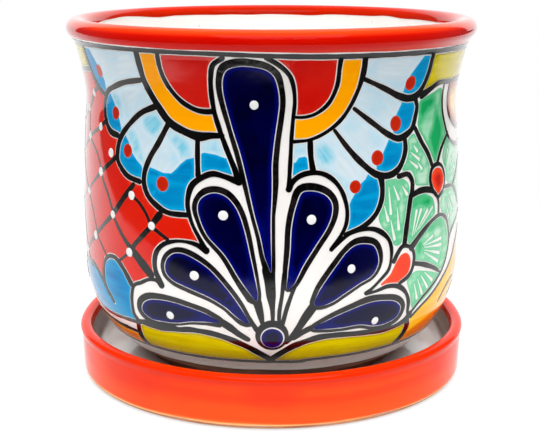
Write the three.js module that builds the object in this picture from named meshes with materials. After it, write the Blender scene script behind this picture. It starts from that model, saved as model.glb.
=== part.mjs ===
// A round flower pot of glazed earthenware, standing in its own saucer.
// Two fired pieces: the pot lifts straight up out of the saucer, and nothing fastens them.
// Millimetres, +Z up, with the origin at the centre of the ring that the saucer stands on.

import * as THREE from "three";

// The saucer
const saucerRadius = 88.1; // widest, at the lip
const saucerHeight = 23.4;
const saucerBaseRadius = 84.6; // outer edge of the wall just above the table
const saucerWall = 5;
const saucerFloor = 6; // thickness of the floor
const saucerFootHeight = 2.5; // how far the standing ring holds the floor up
const saucerFootInnerRadius = 69;
const saucerEdgeRound = 1.2; // rounding between the standing ring and the wall
const saucerFillet = 6; // inside, between floor and wall
const saucerLipWidth = 5.3;
const saucerLipHeight = 4.6;
const saucerLipProud = 0.8; // how far the lip stands out from the wall below it

// The pot's outside, with heights measured from the foot that it stands on
const potHeight = 151;
const rimRadius = 90; // widest, at the rolled lip
const lipWidth = 8.8;
const lipHeight = 8.6;
const neckRadius = 86.2; // where the flare meets the roll of the lip
const neckDrop = 10.8; // from the top of the lip down to the neck
const waistRadius = 82.05;
const waistHeight = 112.2;
const bellyRadius = 84.4;
const bellyHeight = 46.2; // where the wall starts to turn in to the base
const baseReach = 34.4; // how far the rounded base turns in

// The pot's wall, floor and foot
const potWall = 6.2;
const potFloor = 7;
const footRadius = 57;
const footWidth = 8;
const footHeight = 3.2;
const footEdge = 0.8; // bevel on the foot's edges
const drainHoleRadius = 7;
const drainHoleEdge = 1.2; // bevel at both ends of the hole

// The pot rests on the saucer's floor with a hair's breadth between the two glazes
const seatGap = 0.3;

// How finely the round shapes are cut
const stepsRound = 72;
const lipSteps = 16;
const baseSteps = 11;
const wallSteps = 6;
const filletSteps = 5;

// The slope of the wall, in millimetres of radius for each millimetre of height
const waistLean = 0.09;
const neckLean = 0.25;
const wallHandle = 22; // how far the belly and the waist hold their own slopes
const flareHandle = 9; // the same, for the flare under the lip
const lipHandle = 1.6; // the same, for the hollow under the roll of the lip
const lipUnderside = -40; // degrees below the roll's widest point where that hollow starts

const point = (radius, height) => new THREE.Vector2(radius, height);
const radians = THREE.MathUtils.degToRad;

// Points on an ellipse about a centre, from one angle to another in degrees, both ends included.
function arc(centre, width, height, from, to, steps) {
  const points = [];
  for (let i = 0; i <= steps; i++) {
    const a = radians(from + ((to - from) * i) / steps);
    points.push(point(centre.x + width * Math.cos(a), centre.y + height * Math.sin(a)));
  }
  return points;
}

// A smooth stretch of profile between two points that leaves and arrives at given slopes.
function sweep(start, startHandle, endHandle, end, steps) {
  return new THREE.CubicBezierCurve(start, startHandle, endHandle, end).getPoints(steps);
}

// Drops points that lie on the one before, where two stretches share an end.
function joined(...stretches) {
  const points = stretches.flat();
  return points.filter((p, i) => i === 0 || p.distanceTo(points[i - 1]) > 1e-4);
}

// A profile of radii and heights turned round the upright axis.
function turned(profile) {
  return new THREE.LatheGeometry(profile, stepsRound).rotateX(Math.PI / 2);
}

const saucerFloorTop = saucerFootHeight + saucerFloor;
const potBase = saucerFloorTop + seatGap;
const undersideTop = potBase + footHeight;

// The outside of the pot's wall, from the rounded base up to the neck, moved in by an inset.
function wallCurve(inset, bottom) {
  const belly = point(bellyRadius - inset, potBase + bellyHeight);
  const waist = point(waistRadius - inset, potBase + waistHeight);
  const neck = point(neckRadius - inset, potBase + potHeight - neckDrop);
  const base = arc(
    point(bellyRadius - baseReach, belly.y),
    baseReach - inset,
    belly.y - bottom,
    -90,
    0,
    baseSteps,
  );
  const bellyToWaist = sweep(
    belly,
    point(belly.x, belly.y + wallHandle),
    point(waist.x + waistLean * wallHandle, waist.y - wallHandle),
    waist,
    wallSteps,
  );
  const waistToNeck = sweep(
    waist,
    point(waist.x - waistLean * flareHandle, waist.y + flareHandle),
    point(neck.x - neckLean * flareHandle, neck.y - flareHandle),
    neck,
    wallSteps,
  );
  return joined(base, bellyToWaist, waistToNeck);
}

// The height of the rounded base at a radius, where the foot ring grows out of it.
function baseHeightAt(radius) {
  const share = (radius - (bellyRadius - baseReach)) / baseReach;
  const rise = potBase + bellyHeight - undersideTop;
  return potBase + bellyHeight - rise * Math.sqrt(1 - share * share);
}

function potProfile() {
  const lipCentre = point(rimRadius - lipWidth / 2, potBase + potHeight - lipHeight / 2);
  const lip = arc(lipCentre, lipWidth / 2, lipHeight / 2, lipUnderside, 180, lipSteps);
  const outside = wallCurve(0, undersideTop).filter((p) => p.x > footRadius);
  const inside = wallCurve(potWall, undersideTop + potFloor).reverse();
  const neck = outside.at(-1);
  const under = radians(lipUnderside);
  const roll = point(lipWidth * Math.sin(under), -lipHeight * Math.cos(under)).normalize();
  const hollow = sweep(
    neck,
    point(neck.x + neckLean * lipHandle, neck.y + lipHandle),
    lip[0].clone().addScaledVector(roll, lipHandle),
    lip[0],
    filletSteps,
  );
  const floorTop = undersideTop + potFloor;
  const footInner = footRadius - footWidth;
  const profile = joined(
    [
      point(drainHoleRadius, undersideTop + drainHoleEdge),
      point(drainHoleRadius + drainHoleEdge, undersideTop),
      point(footInner - footEdge, undersideTop),
      point(footInner, undersideTop - footEdge),
      point(footInner, potBase + footEdge),
      point(footInner + footEdge, potBase),
      point(footRadius - footEdge, potBase),
      point(footRadius, potBase + footEdge),
      point(footRadius, baseHeightAt(footRadius)),
    ],
    outside,
    hollow,
    lip,
    inside,
    [
      point(drainHoleRadius + drainHoleEdge, floorTop),
      point(drainHoleRadius, floorTop - drainHoleEdge),
    ],
  );
  profile.push(profile[0].clone());
  return profile;
}

function saucerProfile() {
  const wallRadius = saucerRadius - saucerLipProud; // of the wall, just under the lip
  const lipBottom = saucerHeight - saucerLipHeight;
  const innerRadius = saucerRadius - saucerLipWidth;
  const lean = (wallRadius - saucerBaseRadius) / (lipBottom - saucerEdgeRound);
  const edge = arc(
    point(saucerBaseRadius - saucerEdgeRound, saucerEdgeRound),
    saucerEdgeRound,
    saucerEdgeRound,
    -90,
    0,
    filletSteps,
  );
  const lipCentre = point(saucerRadius - saucerLipWidth / 2, saucerHeight - saucerLipHeight / 2);
  const lip = arc(lipCentre, saucerLipWidth / 2, saucerLipHeight / 2, -30, 180, lipSteps);
  const filletTop = saucerFloorTop + saucerFillet;
  const innerBase = saucerBaseRadius + lean * (filletTop - saucerEdgeRound) - saucerWall;
  const fillet = arc(
    point(innerBase - saucerFillet, filletTop),
    saucerFillet,
    saucerFillet,
    0,
    -90,
    filletSteps,
  );
  return joined(
    [
      point(0, saucerFootHeight),
      point(saucerFootInnerRadius - saucerFootHeight, saucerFootHeight),
      point(saucerFootInnerRadius, 0),
    ],
    edge,
    [point(wallRadius, lipBottom)],
    lip,
    [point(Math.min(innerRadius, wallRadius - saucerWall), lipBottom)],
    fillet,
    [point(0, saucerFloorTop)],
  );
}

const glaze = (color) =>
  new THREE.MeshStandardMaterial({ color, roughness: 0.12, metalness: 0 });

function piece(name, profile, material) {
  const mesh = new THREE.Mesh(turned(profile), material);
  mesh.name = name;
  return mesh;
}

const flowerPot = new THREE.Group();
flowerPot.add(piece("saucer", saucerProfile(), glaze(0xe23a16)));
flowerPot.add(piece("pot", potProfile(), glaze(0xefece6)));

export default flowerPot;
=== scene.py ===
import math

import bpy
import numpy as np
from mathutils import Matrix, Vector
from mathutils.geometry import delaunay_2d_cdt
from mathutils.kdtree import KDTree


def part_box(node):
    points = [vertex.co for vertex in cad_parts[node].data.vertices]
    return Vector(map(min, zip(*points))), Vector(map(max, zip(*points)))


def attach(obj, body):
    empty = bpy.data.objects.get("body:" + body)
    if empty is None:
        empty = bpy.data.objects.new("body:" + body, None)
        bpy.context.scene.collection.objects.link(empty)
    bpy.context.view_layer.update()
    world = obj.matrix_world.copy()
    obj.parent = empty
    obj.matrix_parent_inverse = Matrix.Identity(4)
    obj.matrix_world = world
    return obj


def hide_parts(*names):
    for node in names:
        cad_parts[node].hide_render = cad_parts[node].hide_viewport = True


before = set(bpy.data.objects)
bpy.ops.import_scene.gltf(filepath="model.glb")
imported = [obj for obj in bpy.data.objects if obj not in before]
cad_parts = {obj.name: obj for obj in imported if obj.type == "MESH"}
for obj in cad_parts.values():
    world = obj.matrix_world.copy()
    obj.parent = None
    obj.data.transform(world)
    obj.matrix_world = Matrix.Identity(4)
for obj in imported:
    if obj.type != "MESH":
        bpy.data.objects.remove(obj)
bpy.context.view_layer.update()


# The camera
# A short telephoto stands half a metre in front of the pot, a little above its lip,
# and looks down by the angle at which the lip's ellipse opens in the photograph.
camera_place = (-0.0006, -0.5360, 0.1924)
camera_pitch = 13.0  # degrees down from level
camera_lens = 79.85  # mm
sensor_width = 36.0  # mm

camera = bpy.data.cameras.new("camera")
camera.lens = camera_lens
camera.sensor_width = sensor_width
camera_stand = bpy.data.objects.new("camera", camera)
camera_stand.location = camera_place
camera_stand.rotation_euler = (math.radians(90 - camera_pitch), 0, 0)
bpy.context.scene.collection.objects.link(camera_stand)
bpy.context.scene.camera = camera_stand
bpy.context.scene.view_settings.view_transform = "Standard"


# The table, the room and the lamps
# White paper lies on the table under the pot and runs back to a white wall. In front of the paper the
# room is dark, which is what the middle of the glossy wall mirrors. A lit ceiling and two soft lamps hang
# over it all.
paper_front = 0.302  # metres; how far the paper reaches towards the camera
paper_sides = ((0.45, 0.85), (0.38, 0.50))  # its reach to the left and right, and more for each metre back
paper_edge = 0.02  # how softly its edge is mirrored
paper_round = 1.5  # 2 is an oval sheet, 1 one with straight sides and a point in front
paper_white = 0.75  # how much more light it gives back than the dark floor round it
floor_white = 0.08
shadow_fades = (0.12, 0.40)  # metres from the pot; past the second the camera sees plain white
near_white = 0.64  # how plain the white is close to the pot
room_glow = 0.006  # what the dark room gives back to glossy surfaces in front
side_glow = 0.11  # the same at the sides
side_starts = 0.45  # 0 is straight ahead, 1 straight to the side
wall_spread = 1.00  # how wide the white wall looks from the pot: sideways for each metre back
wall_edge = 0.06  # how softly its edge is mirrored
even_light = 0.225  # light from all round, on matt surfaces
ceiling_light = 3.4  # the same from overhead
ceiling_starts = (0.5, 0.9)  # 0 is level, 1 straight up
lamps = [  # name, place, width and height, power
    ("soft_box", (0.05, -0.50, 0.66), (0.80, 0.40), 1.5),
    ("strip", (0.03, -0.56, 0.385), (0.40, 0.030), 0.20),
]
lamp_aim = (0, -0.02, 0.10)
table_width = 8  # metres


class Amount:
    """A number that a material works out at each place; sums on it add Math nodes."""

    def __init__(self, finish, socket):
        self.finish = finish
        self.socket = socket

    def maths(self, operation, *values):
        node = self.finish.add("ShaderNodeMath", {"operation": operation}, dict(enumerate(values)))
        return Amount(self.finish, node.outputs[0])

    def __add__(self, other):
        return self.maths("ADD", self, other)

    def __sub__(self, other):
        return self.maths("SUBTRACT", self, other)

    def __rsub__(self, other):
        return self.maths("SUBTRACT", other, self)

    def __mul__(self, other):
        return self.maths("MULTIPLY", self, other)

    def __truediv__(self, other):
        return self.maths("DIVIDE", self, other)

    def __rtruediv__(self, other):
        return self.maths("DIVIDE", other, self)

    def __pow__(self, other):
        return self.maths("POWER", self, other)

    __radd__ = __add__
    __rmul__ = __mul__

    def size(self):
        return self.maths("ABSOLUTE", self)

    def rise(self, start, end):
        """0 below start, 1 above end, and a smooth climb between; start may be the larger one."""
        settings = {"interpolation_type": "SMOOTHSTEP"}
        inputs = {"Value": self, "From Min": start, "From Max": end}
        node = self.finish.add("ShaderNodeMapRange", settings, inputs)
        return Amount(self.finish, node.outputs["Result"])


class Finish:
    """A material or a world under its own name, with its nodes added one at a time."""

    def __init__(self, name, holder=None):
        self.holder = holder or bpy.data.materials.new(name)
        self.holder.use_nodes = True
        self.tree = self.holder.node_tree
        self.tree.nodes.clear()

    def add(self, kind, settings=None, inputs=None):
        node = self.tree.nodes.new(kind)
        for name, value in (settings or {}).items():
            setattr(node, name, value)
        for name, value in (inputs or {}).items():
            if isinstance(value, Amount):
                value = value.socket
            if isinstance(value, bpy.types.NodeSocket):
                self.tree.links.new(value, node.inputs[name])
            else:
                node.inputs[name].default_value = value
        return node

    def amount(self, node, output):
        return Amount(self, node.outputs[output])

    def split(self, vector):
        parts = self.add("ShaderNodeSeparateXYZ", None, {"Vector": vector})
        return [Amount(self, parts.outputs[axis]) for axis in "XYZ"]

    def end(self, kind, shader):
        self.add(kind, None, {"Surface": shader})


def colour(red, green, blue):
    """A colour as a painter's chart gives it, 0 to 255, turned into light."""
    parts = [c / 255 for c in (red, green, blue)]
    return tuple(p / 12.92 if p <= 0.04045 else ((p + 0.055) / 1.055) ** 2.4 for p in parts) + (1,)


def dark_room(x, y):
    """What the room beyond the paper gives back: hardly anything in front, a little at the sides."""
    side = (x.size() / (x * x + y * y) ** 0.5).rise(side_starts, 1)
    return side * side_glow + room_glow


def paper_finish():
    """Matt under the pot's shadow, white to the camera, and mirrored only as far as the paper reaches."""
    f = Finish("white_paper")
    ray = f.add("ShaderNodeLightPath")
    x, y, _ = f.split(f.add("ShaderNodeTexCoord").outputs["Object"])
    ahead = y.maths("MINIMUM", y, 0) / paper_front
    behind = y.maths("MAXIMUM", y, 0)
    left, right = (side + behind * more for side, more in paper_sides)
    half = right + x.rise(0.01, -0.01) * (left - right)
    reach = ((x / half).size() ** paper_round + ahead.size() ** paper_round) ** (1 / paper_round)
    on_paper = reach.rise(1 + paper_edge, 1 - paper_edge)
    glow = dark_room(x, y)
    mirrored = on_paper * (1 - glow) + glow
    seen = f.amount(ray, "Is Camera Ray")
    glossy = f.amount(ray, "Is Glossy Ray")
    distance = (x * x + y * y) ** 0.5
    plain = distance.rise(*shadow_fades) * (1 - near_white) + near_white
    given_back = on_paper * paper_white + floor_white
    shade = f.add("ShaderNodeCombineColor", None, dict.fromkeys(("Red", "Green", "Blue"), given_back))
    matt = f.add("ShaderNodeBsdfDiffuse", None, {"Color": shade.outputs[0]})
    white = f.add("ShaderNodeEmission", None, {"Color": (1, 1, 1, 1), "Strength": seen + mirrored * glossy})
    inputs = {"Fac": seen * plain + glossy, 1: matt.outputs[0], 2: white.outputs[0]}
    f.end("ShaderNodeOutputMaterial", f.add("ShaderNodeMixShader", None, inputs).outputs[0])
    return f.holder


def room():
    """The world: white behind the pot, dark elsewhere to glossy surfaces, an even light on matt ones."""
    f = Finish("room", bpy.data.worlds.new("room"))
    ray = f.add("ShaderNodeLightPath")
    x, y, z = f.split(f.add("ShaderNodeTexCoord").outputs["Generated"])
    wall = (x.size() / y.maths("MAXIMUM", y, 0.001)).rise(wall_spread + wall_edge, wall_spread - wall_edge)
    glow = dark_room(x, y)
    mirrored = wall * (1 - glow) + glow
    seen = f.amount(ray, "Is Camera Ray")
    glossy = f.amount(ray, "Is Glossy Ray")
    unseen = glossy * mirrored + (1 - glossy) * (z.rise(*ceiling_starts) * ceiling_light + even_light)
    strength = seen + (1 - seen) * unseen
    light = f.add("ShaderNodeBackground", None, {"Color": (1, 1, 1, 1), "Strength": strength})
    f.end("ShaderNodeOutputWorld", light.outputs[0])
    return f.holder


def soft_lamp(name, place, size, power):
    lamp = bpy.data.lights.new(name, "AREA")
    lamp.shape = "RECTANGLE"
    lamp.size, lamp.size_y = size
    lamp.energy = power
    stand = bpy.data.objects.new(name, lamp)
    stand.location = place
    stand.rotation_euler = (Vector(lamp_aim) - Vector(place)).to_track_quat("-Z", "Y").to_euler()
    bpy.context.scene.collection.objects.link(stand)


bpy.context.scene.world = room()
for lamp in lamps:
    soft_lamp(*lamp)
bpy.ops.object.select_all(action="DESELECT")
bpy.ops.mesh.primitive_plane_add(size=table_width)
table = bpy.context.object
table.name = "table"
table.data.materials.append(paper_finish())


# The saucer
# A shallow dish of red clay, thrown or pressed, with a rolled lip and a ring underneath that it stands on.
# It is dipped in white glaze; the ring and the bottom are wiped bare, so that it doesn't stick in the kiln.
mm = 0.001  # the sizes of the pottery below are in millimetres
saucer_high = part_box("saucer")[1] / mm
saucer_radius = saucer_high.x
saucer_top = saucer_high.z
saucer_base_radius = 86.6
saucer_wall = 5.0
saucer_floor_top = 8.5
saucer_recess = 2.5  # how far the ring holds the floor up
saucer_ring_radius = 69.0  # inside of the standing ring
saucer_edge_round = 3.0
saucer_fillet = 6.0
saucer_lip = (2.65, 2.3)  # half its width and half its height
saucer_lip_proud = 0.8  # how far the lip stands out from the wall
saucer_stretch = 0.022  # how far out of round it is
stretch_at = (0, 25, 60)  # degrees behind its sides, where that starts, is greatest and ends
skin = 0.15  # thickness of a coloured glaze that covers a lip
turn_steps = 256  # faces round a turned piece
smooth_below = math.radians(40)  # edges that bend less than this are shaded smooth
same_point = 0.01  # mm; points closer than this are merged
bare_clay_z = 1.9  # the saucer's white glaze ends here, above the ring
painted_shade_radii = (76.5, 81.5)  # radii between which its white is painted darker towards the wall: painted shade
glaze_ior = 1.52
wave_height = 0.22  # mm; how far the glaze's surface rises and falls
saucer_clay = colour(214, 150, 104)
white_glaze = colour(242, 239, 236)


def arc(centre, reach, start, end, steps):
    """Points on an ellipse about a centre, from one angle to another in degrees."""
    a = np.radians(np.linspace(start, end, steps + 1))
    return np.stack([centre[0] + reach[0] * np.cos(a), centre[1] + reach[1] * np.sin(a)], 1)


def joined(*stretches):
    """One line through all the stretches, without the points that two of them share."""
    points = np.concatenate([np.atleast_2d(np.array(s, float)) for s in stretches])
    gaps = np.linalg.norm(np.diff(points, axis=0), axis=1)
    return points[np.concatenate([[True], gaps > 1e-4])]


def places_of(mesh):
    """The places of a mesh's points, a row for each."""
    places = np.empty(len(mesh.vertices) * 3)
    mesh.vertices.foreach_get("co", places)
    return places.reshape(-1, 3)


def mend(merge_below=None, outwards=False):
    """Merges the active piece's points within a length in mm, and turns its faces outwards."""
    bpy.ops.object.mode_set(mode="EDIT")
    bpy.ops.mesh.select_all(action="SELECT")
    if merge_below:
        bpy.ops.mesh.remove_doubles(threshold=merge_below * mm)
    if outwards:
        bpy.ops.mesh.normals_make_consistent(inside=False)
    bpy.ops.object.mode_set(mode="OBJECT")


def turned(name, section):
    """Spins a closed section of radii and heights round the upright axis, as on a wheel."""
    bpy.ops.object.select_all(action="DESELECT")
    bpy.ops.mesh.primitive_circle_add(vertices=len(section), radius=mm)
    piece = bpy.context.object
    piece.name = name
    for vertex, (radius, height) in zip(piece.data.vertices, section):
        vertex.co = (radius * mm, 0, height * mm)
    bpy.ops.object.mode_set(mode="EDIT")
    bpy.ops.mesh.select_all(action="SELECT")
    bpy.ops.mesh.spin(steps=turn_steps, angle=2 * math.pi, center=(0, 0, 0), axis=(0, 0, 1))
    bpy.ops.object.mode_set(mode="OBJECT")
    mend(same_point, outwards=True)
    bpy.ops.object.shade_smooth_by_angle(angle=smooth_below)
    return piece


def out_of_round(piece):
    """The clay moved in the kiln: the saucer is a little long towards both of its back corners."""
    place = places_of(piece.data)
    behind = np.degrees(np.arctan2(place[:, 1], np.abs(place[:, 0])))
    share = np.interp(behind, stretch_at, (0, 1, 0))
    place[:, :2] *= (1 + saucer_stretch * share * share * (3 - 2 * share))[:, None]
    piece.data.vertices.foreach_set("co", place.ravel())
    piece.data.update()


def texture(f, place, scale, detail=2.0, stretch=(1, 1, 1), turn=0.0, shift=(0, 0, 0)):
    """A cloudy pattern, 0 to 1, of about scale clouds to a metre, which can be drawn out along an axis."""
    settings = {"vector_type": "POINT"}
    inputs = {"Vector": place, "Location": shift, "Rotation": (0, turn, 0), "Scale": stretch}
    moved = f.add("ShaderNodeMapping", settings, inputs)
    inputs = {"Vector": moved.outputs[0], "Scale": scale, "Detail": detail, "Roughness": 0.55}
    return f.amount(f.add("ShaderNodeTexNoise", None, inputs), "Fac")


def blend(f, share, start, end):
    """Colour start where share is 0, end where it is 1."""
    node = f.add("ShaderNodeMix", {"data_type": "RGBA", "blend_type": "MIX"}, {"Factor": share})
    for socket, value in ((node.inputs[6], start), (node.inputs[7], end)):
        if isinstance(value, bpy.types.NodeSocket):
            f.tree.links.new(value, socket)
        else:
            socket.default_value = value
    return node.outputs[2]


def fired(f, place, base, roughness, height=None, mirror=0.5, clear_coat=None):
    """Ends a finish as fired clay or glaze. All of them share the same waves, so mirrored edges run on."""
    waves = texture(f, place, 26, 1.0) * 0.75 + texture(f, place, 95, 2.0, shift=(3, 1, 2)) * 0.16
    if height is not None:
        waves = waves + height
    bump = f.add("ShaderNodeBump", None, {"Strength": 1.0, "Distance": wave_height * mm, "Height": waves})
    inputs = {"Base Color": base, "Roughness": roughness, "Normal": bump.outputs[0], "IOR": glaze_ior,
              "Specular IOR Level": mirror}
    if clear_coat:
        inputs.update({"Coat Weight": clear_coat, "Coat IOR": 1.6, "Coat Roughness": 0.06})
    shader = f.add("ShaderNodeBsdfPrincipled", None, inputs)
    f.end("ShaderNodeOutputMaterial", shader.outputs[0])
    return f.holder


def clay_colour(f, place, main, dark):
    """Fired clay: fine grain, and patches where the flame or the wet sponge left it darker."""
    grain = texture(f, place, 1400, 4.0)
    patches = texture(f, place, 45, 4.0)
    mixed = blend(f, patches.rise(0.35, 0.75), main, dark)
    return blend(f, grain.rise(0.62, 0.80) * 0.35, mixed, dark)


def white_colour(f, place):
    """White tin glaze: creamy clouds where it lies thin on the clay, and a few small brown specks."""
    clouds = texture(f, place, 32, 3.0)
    specks = texture(f, place, 620, 0.0)
    mixed = blend(f, clouds.rise(0.42, 0.85) * 0.5, white_glaze, colour(234, 227, 220))
    return blend(f, specks.rise(0.80, 0.86) * 0.25, mixed, colour(150, 118, 96))


def saucer_finish():
    f = Finish("saucer_white_glaze_and_clay")
    place = f.add("ShaderNodeTexCoord").outputs["Object"]
    x, y, z = f.split(place)
    edge = z / mm + (texture(f, place, 60, 3.0) - 0.5) * 2.2
    glazed = edge.rise(bare_clay_z - 0.12, bare_clay_z + 0.12)
    clay = clay_colour(f, place, saucer_clay, colour(176, 112, 74))
    radius = (x * x + y * y) ** 0.5
    # Painted shade: the white turns grey-brown towards the wall, where the pot and the wall shade the
    # channel between them.
    thin = (radius / mm).rise(*painted_shade_radii) * 0.85
    white = blend(f, thin, white_colour(f, place), colour(166, 152, 146))
    base = blend(f, glazed, clay, white)
    rough = 0.80 - glazed * 0.70 + (texture(f, place, 140, 3.0) - 0.5) * 0.06
    grain = texture(f, place, 1600, 3.0) * (1 - glazed) * 0.25
    return fired(f, place, base, rough, grain)


def saucer_outside(inset):
    """From the standing ring up the wall and over the lip to the inner wall; inset sets the lip in."""
    wall = saucer_radius - saucer_lip_proud
    bottom = arc((saucer_base_radius - saucer_edge_round, saucer_edge_round),
                 (saucer_edge_round, saucer_edge_round), -90, 0, 6)
    lip_centre = (saucer_radius - saucer_lip[0], saucer_top - saucer_lip[1])
    lip = arc(lip_centre, (saucer_lip[0] - inset, saucer_lip[1] - inset), -30, 180, 28)
    lip_bottom = saucer_top - 2 * saucer_lip[1]
    heights = np.linspace(saucer_edge_round, lip_bottom, 12)
    lean = (wall - saucer_base_radius) / (lip_bottom - saucer_edge_round)
    side = np.stack([saucer_base_radius + lean * (heights - saucer_edge_round), heights], 1)
    fillet_top = saucer_floor_top + saucer_fillet
    inner_base = saucer_base_radius + lean * (fillet_top - saucer_edge_round) - saucer_wall
    inner_top = (wall - saucer_wall, lip_bottom)
    fillet = arc((inner_base - saucer_fillet, fillet_top), (saucer_fillet, saucer_fillet), 0, -90, 10)
    return joined(bottom, side, lip, inner_top, fillet)


saucer_floor_radii = np.linspace(70, 8, 12)
saucer_floor = np.stack([saucer_floor_radii, np.full(12, saucer_floor_top)], 1)
saucer_under = [(0, saucer_floor_top), (0, saucer_recess),
                (saucer_ring_radius - saucer_recess - 0.4, saucer_recess),
                (saucer_ring_radius - saucer_recess + 0.2, saucer_recess - 0.25),
                (saucer_ring_radius - 0.3, 0.25), (saucer_ring_radius + 0.5, 0)]
saucer_section = joined(saucer_outside(skin), saucer_floor, saucer_under)
saucer = turned("saucer_body", saucer_section)
out_of_round(saucer)
saucer.data.materials.append(saucer_finish())
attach(saucer, "saucer")
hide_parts("saucer")


# The red glaze on the saucer
# Brushed round the wall and over the lip, on top of the white. Its lower edge stops a hand's shake above
# the table and shows the bare clay; its upper edge stops just inside the lip.
saucer_glaze_foot = 2.1  # height of the lower edge
saucer_glaze_inside = 19.6  # height of the inner edge
saucer_red = colour(240, 54, 0)
saucer_lip_red = colour(224, 42, 0)


def along(line):
    """The distance run along a line at each of its points."""
    return np.concatenate([[0], np.cumsum(np.linalg.norm(np.diff(line, axis=0), axis=1))])


def unit(rows):
    """Each row as a direction of length 1."""
    return rows / np.linalg.norm(rows, axis=1)[:, None]


def outward(line):
    """Unit normals on the left of a line that runs up the outside of a piece, as seen from outside."""
    ahead = unit(np.gradient(line, axis=0))
    return np.stack([ahead[:, 1], -ahead[:, 0]], 1)


def shaky(angle, size, seed):
    """A hand-drawn edge: waves that close up after one turn."""
    turns = (3, 7, 12, 19, 31)
    heights = (0.35, 0.45, 0.40, 0.22, 0.12)
    return size * sum(h * np.sin(k * angle + seed * (k + 1.7)) for k, h in zip(turns, heights))


def thicken(piece, thickness):
    """Gives a coat its thickness in mm, inwards from its outside."""
    shell = piece.modifiers.new("coat", "SOLIDIFY")
    shell.thickness = thickness * mm
    shell.offset = -1
    bpy.ops.object.modifier_apply(modifier=shell.name)


def brushed_band(name, line, start, end, rows):
    """A coat of glaze round a piece; start and end give its edges along the line for each angle."""
    bpy.ops.object.select_all(action="DESELECT")
    bpy.ops.mesh.primitive_grid_add(x_subdivisions=turn_steps, y_subdivisions=rows, size=2)
    piece = bpy.context.object
    piece.name = name
    flat = places_of(piece.data)
    angle = (flat[:, 0] + 1) * math.pi
    share = (flat[:, 1] + 1) / 2
    run = along(line)
    at = start(angle) + (end(angle) - start(angle)) * share
    raised = line + outward(line) * skin
    radius = np.interp(at, run, raised[:, 0])
    height = np.interp(at, run, raised[:, 1])
    placed = np.stack([radius * np.cos(angle), radius * np.sin(angle), height], 1) * mm
    piece.data.vertices.foreach_set("co", placed.ravel())
    mend(same_point)
    thicken(piece, skin * 1.4)  # it reaches into the white below
    bpy.ops.object.shade_smooth_by_angle(angle=smooth_below)
    return piece


def place_along(line, height, last=False):
    """How far along a line it first, or last, reaches a height."""
    run = along(line)
    over = np.flatnonzero(np.diff(np.sign(line[:, 1] - height)))
    i = over[-1] if last else over[0]
    share = (height - line[i, 1]) / (line[i + 1, 1] - line[i, 1])
    return run[i] + share * (run[i + 1] - run[i])


def saucer_red_finish():
    """Orange-red, brushed round: more orange where it is thin, a clearer red where it pools on the lip."""
    f = Finish("saucer_red_glaze")
    place = f.add("ShaderNodeTexCoord").outputs["Object"]
    z = f.split(place)[2] / mm
    strokes = texture(f, place, 30, 3.0, stretch=(0.5, 0.5, 7))
    clouds = texture(f, place, 24, 2.0, shift=(5, 2, 0))
    base = blend(f, strokes.rise(0.40, 0.72) * 0.65, saucer_red, colour(254, 80, 8))
    base = blend(f, clouds.rise(0.42, 0.66) * 0.7, base, colour(226, 40, 4))
    thin = (z + (strokes - 0.5) * 8).rise(14, 6)
    base = blend(f, thin * 0.5, base, colour(255, 92, 12))
    lip = z.rise(saucer_top - 5.2, saucer_top - 2.6)
    base = blend(f, lip, base, saucer_lip_red)
    # Paler towards the lower edge: partly thin glaze over the clay, partly a painted highlight along the
    # foot.
    low = (z + (strokes - 0.5) * 5).rise(4.2, 1.6)
    base = blend(f, low * 0.75, base, colour(255, 146, 60))
    edge = (z + (strokes - 0.5) * 1.6).rise(3.0, 2.2)
    base = blend(f, edge * 0.8, base, colour(255, 206, 140))
    return fired(f, place, base, 0.085, mirror=0.22)


saucer_line = saucer_outside(skin)
saucer_glaze = brushed_band(
    "saucer_red_glaze", saucer_line,
    lambda a: place_along(saucer_line, saucer_glaze_foot) + shaky(a, 0.30, 1.0),
    lambda a: place_along(saucer_line, saucer_glaze_inside, True) + shaky(a, 0.35, 2.0), rows=44)
out_of_round(saucer_glaze)
saucer_glaze.data.materials.append(saucer_red_finish())
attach(saucer_glaze, "saucer")


# The pot
# Thrown in one piece: foot ring, rounded base, nearly upright wall, slight flare and a thick rolled lip,
# with a drain hole in the floor. White tin glaze inside and out; the foot and the underside stay bare
# clay.
pot_low, pot_high = [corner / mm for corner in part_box("pot")]
pot_base = pot_low.z
pot_top = pot_high.z
rim_radius = pot_high.x
lip_half = (4.4, 4.3)  # half the lip's width and height
neck = (86.2, pot_top - 10.8)  # where the flare meets the roll of the lip
waist = (82.05, pot_base + 112.2)
belly = (84.4, pot_base + 46.2)
base_reach = 34.4  # how far in the rounded base curves from the belly
pot_wall = 6.2
underside = pot_base + 3.2
floor_top = underside + 7.0
foot_radius = 57.0
foot_width = 8.0
foot_edge = 0.8
drain_radius = 7.0
drain_edge = 1.2
waist_lean = 0.09  # the slope of the wall, mm of radius for each mm of height
neck_lean = 0.25
wall_handle = 22  # how far the belly and the waist hold their own slopes
flare_handle = 9  # the same for the flare under the lip
lip_handle = 1.6  # the same for the hollow under the roll of the lip
lip_underside = -40  # degrees below the roll's widest point, where that hollow ends
glaze_foot_z = 19.8  # the white glaze ends here, on the rounded base
glazed_floor = 63.0  # radius of the floor, which is white below that height as well
pot_clay = colour(128, 74, 44)


def sweep(start, start_handle, end_handle, end, steps):
    """A smooth stretch between two points that leaves and arrives at given slopes."""
    t = np.linspace(0, 1, steps + 1)[:, None]
    points = [np.array(p, float) for p in (start, start_handle, end_handle, end)]
    return ((1 - t) ** 3 * points[0] + 3 * (1 - t) ** 2 * t * points[1]
            + 3 * (1 - t) * t**2 * points[2] + t**3 * points[3])


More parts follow.
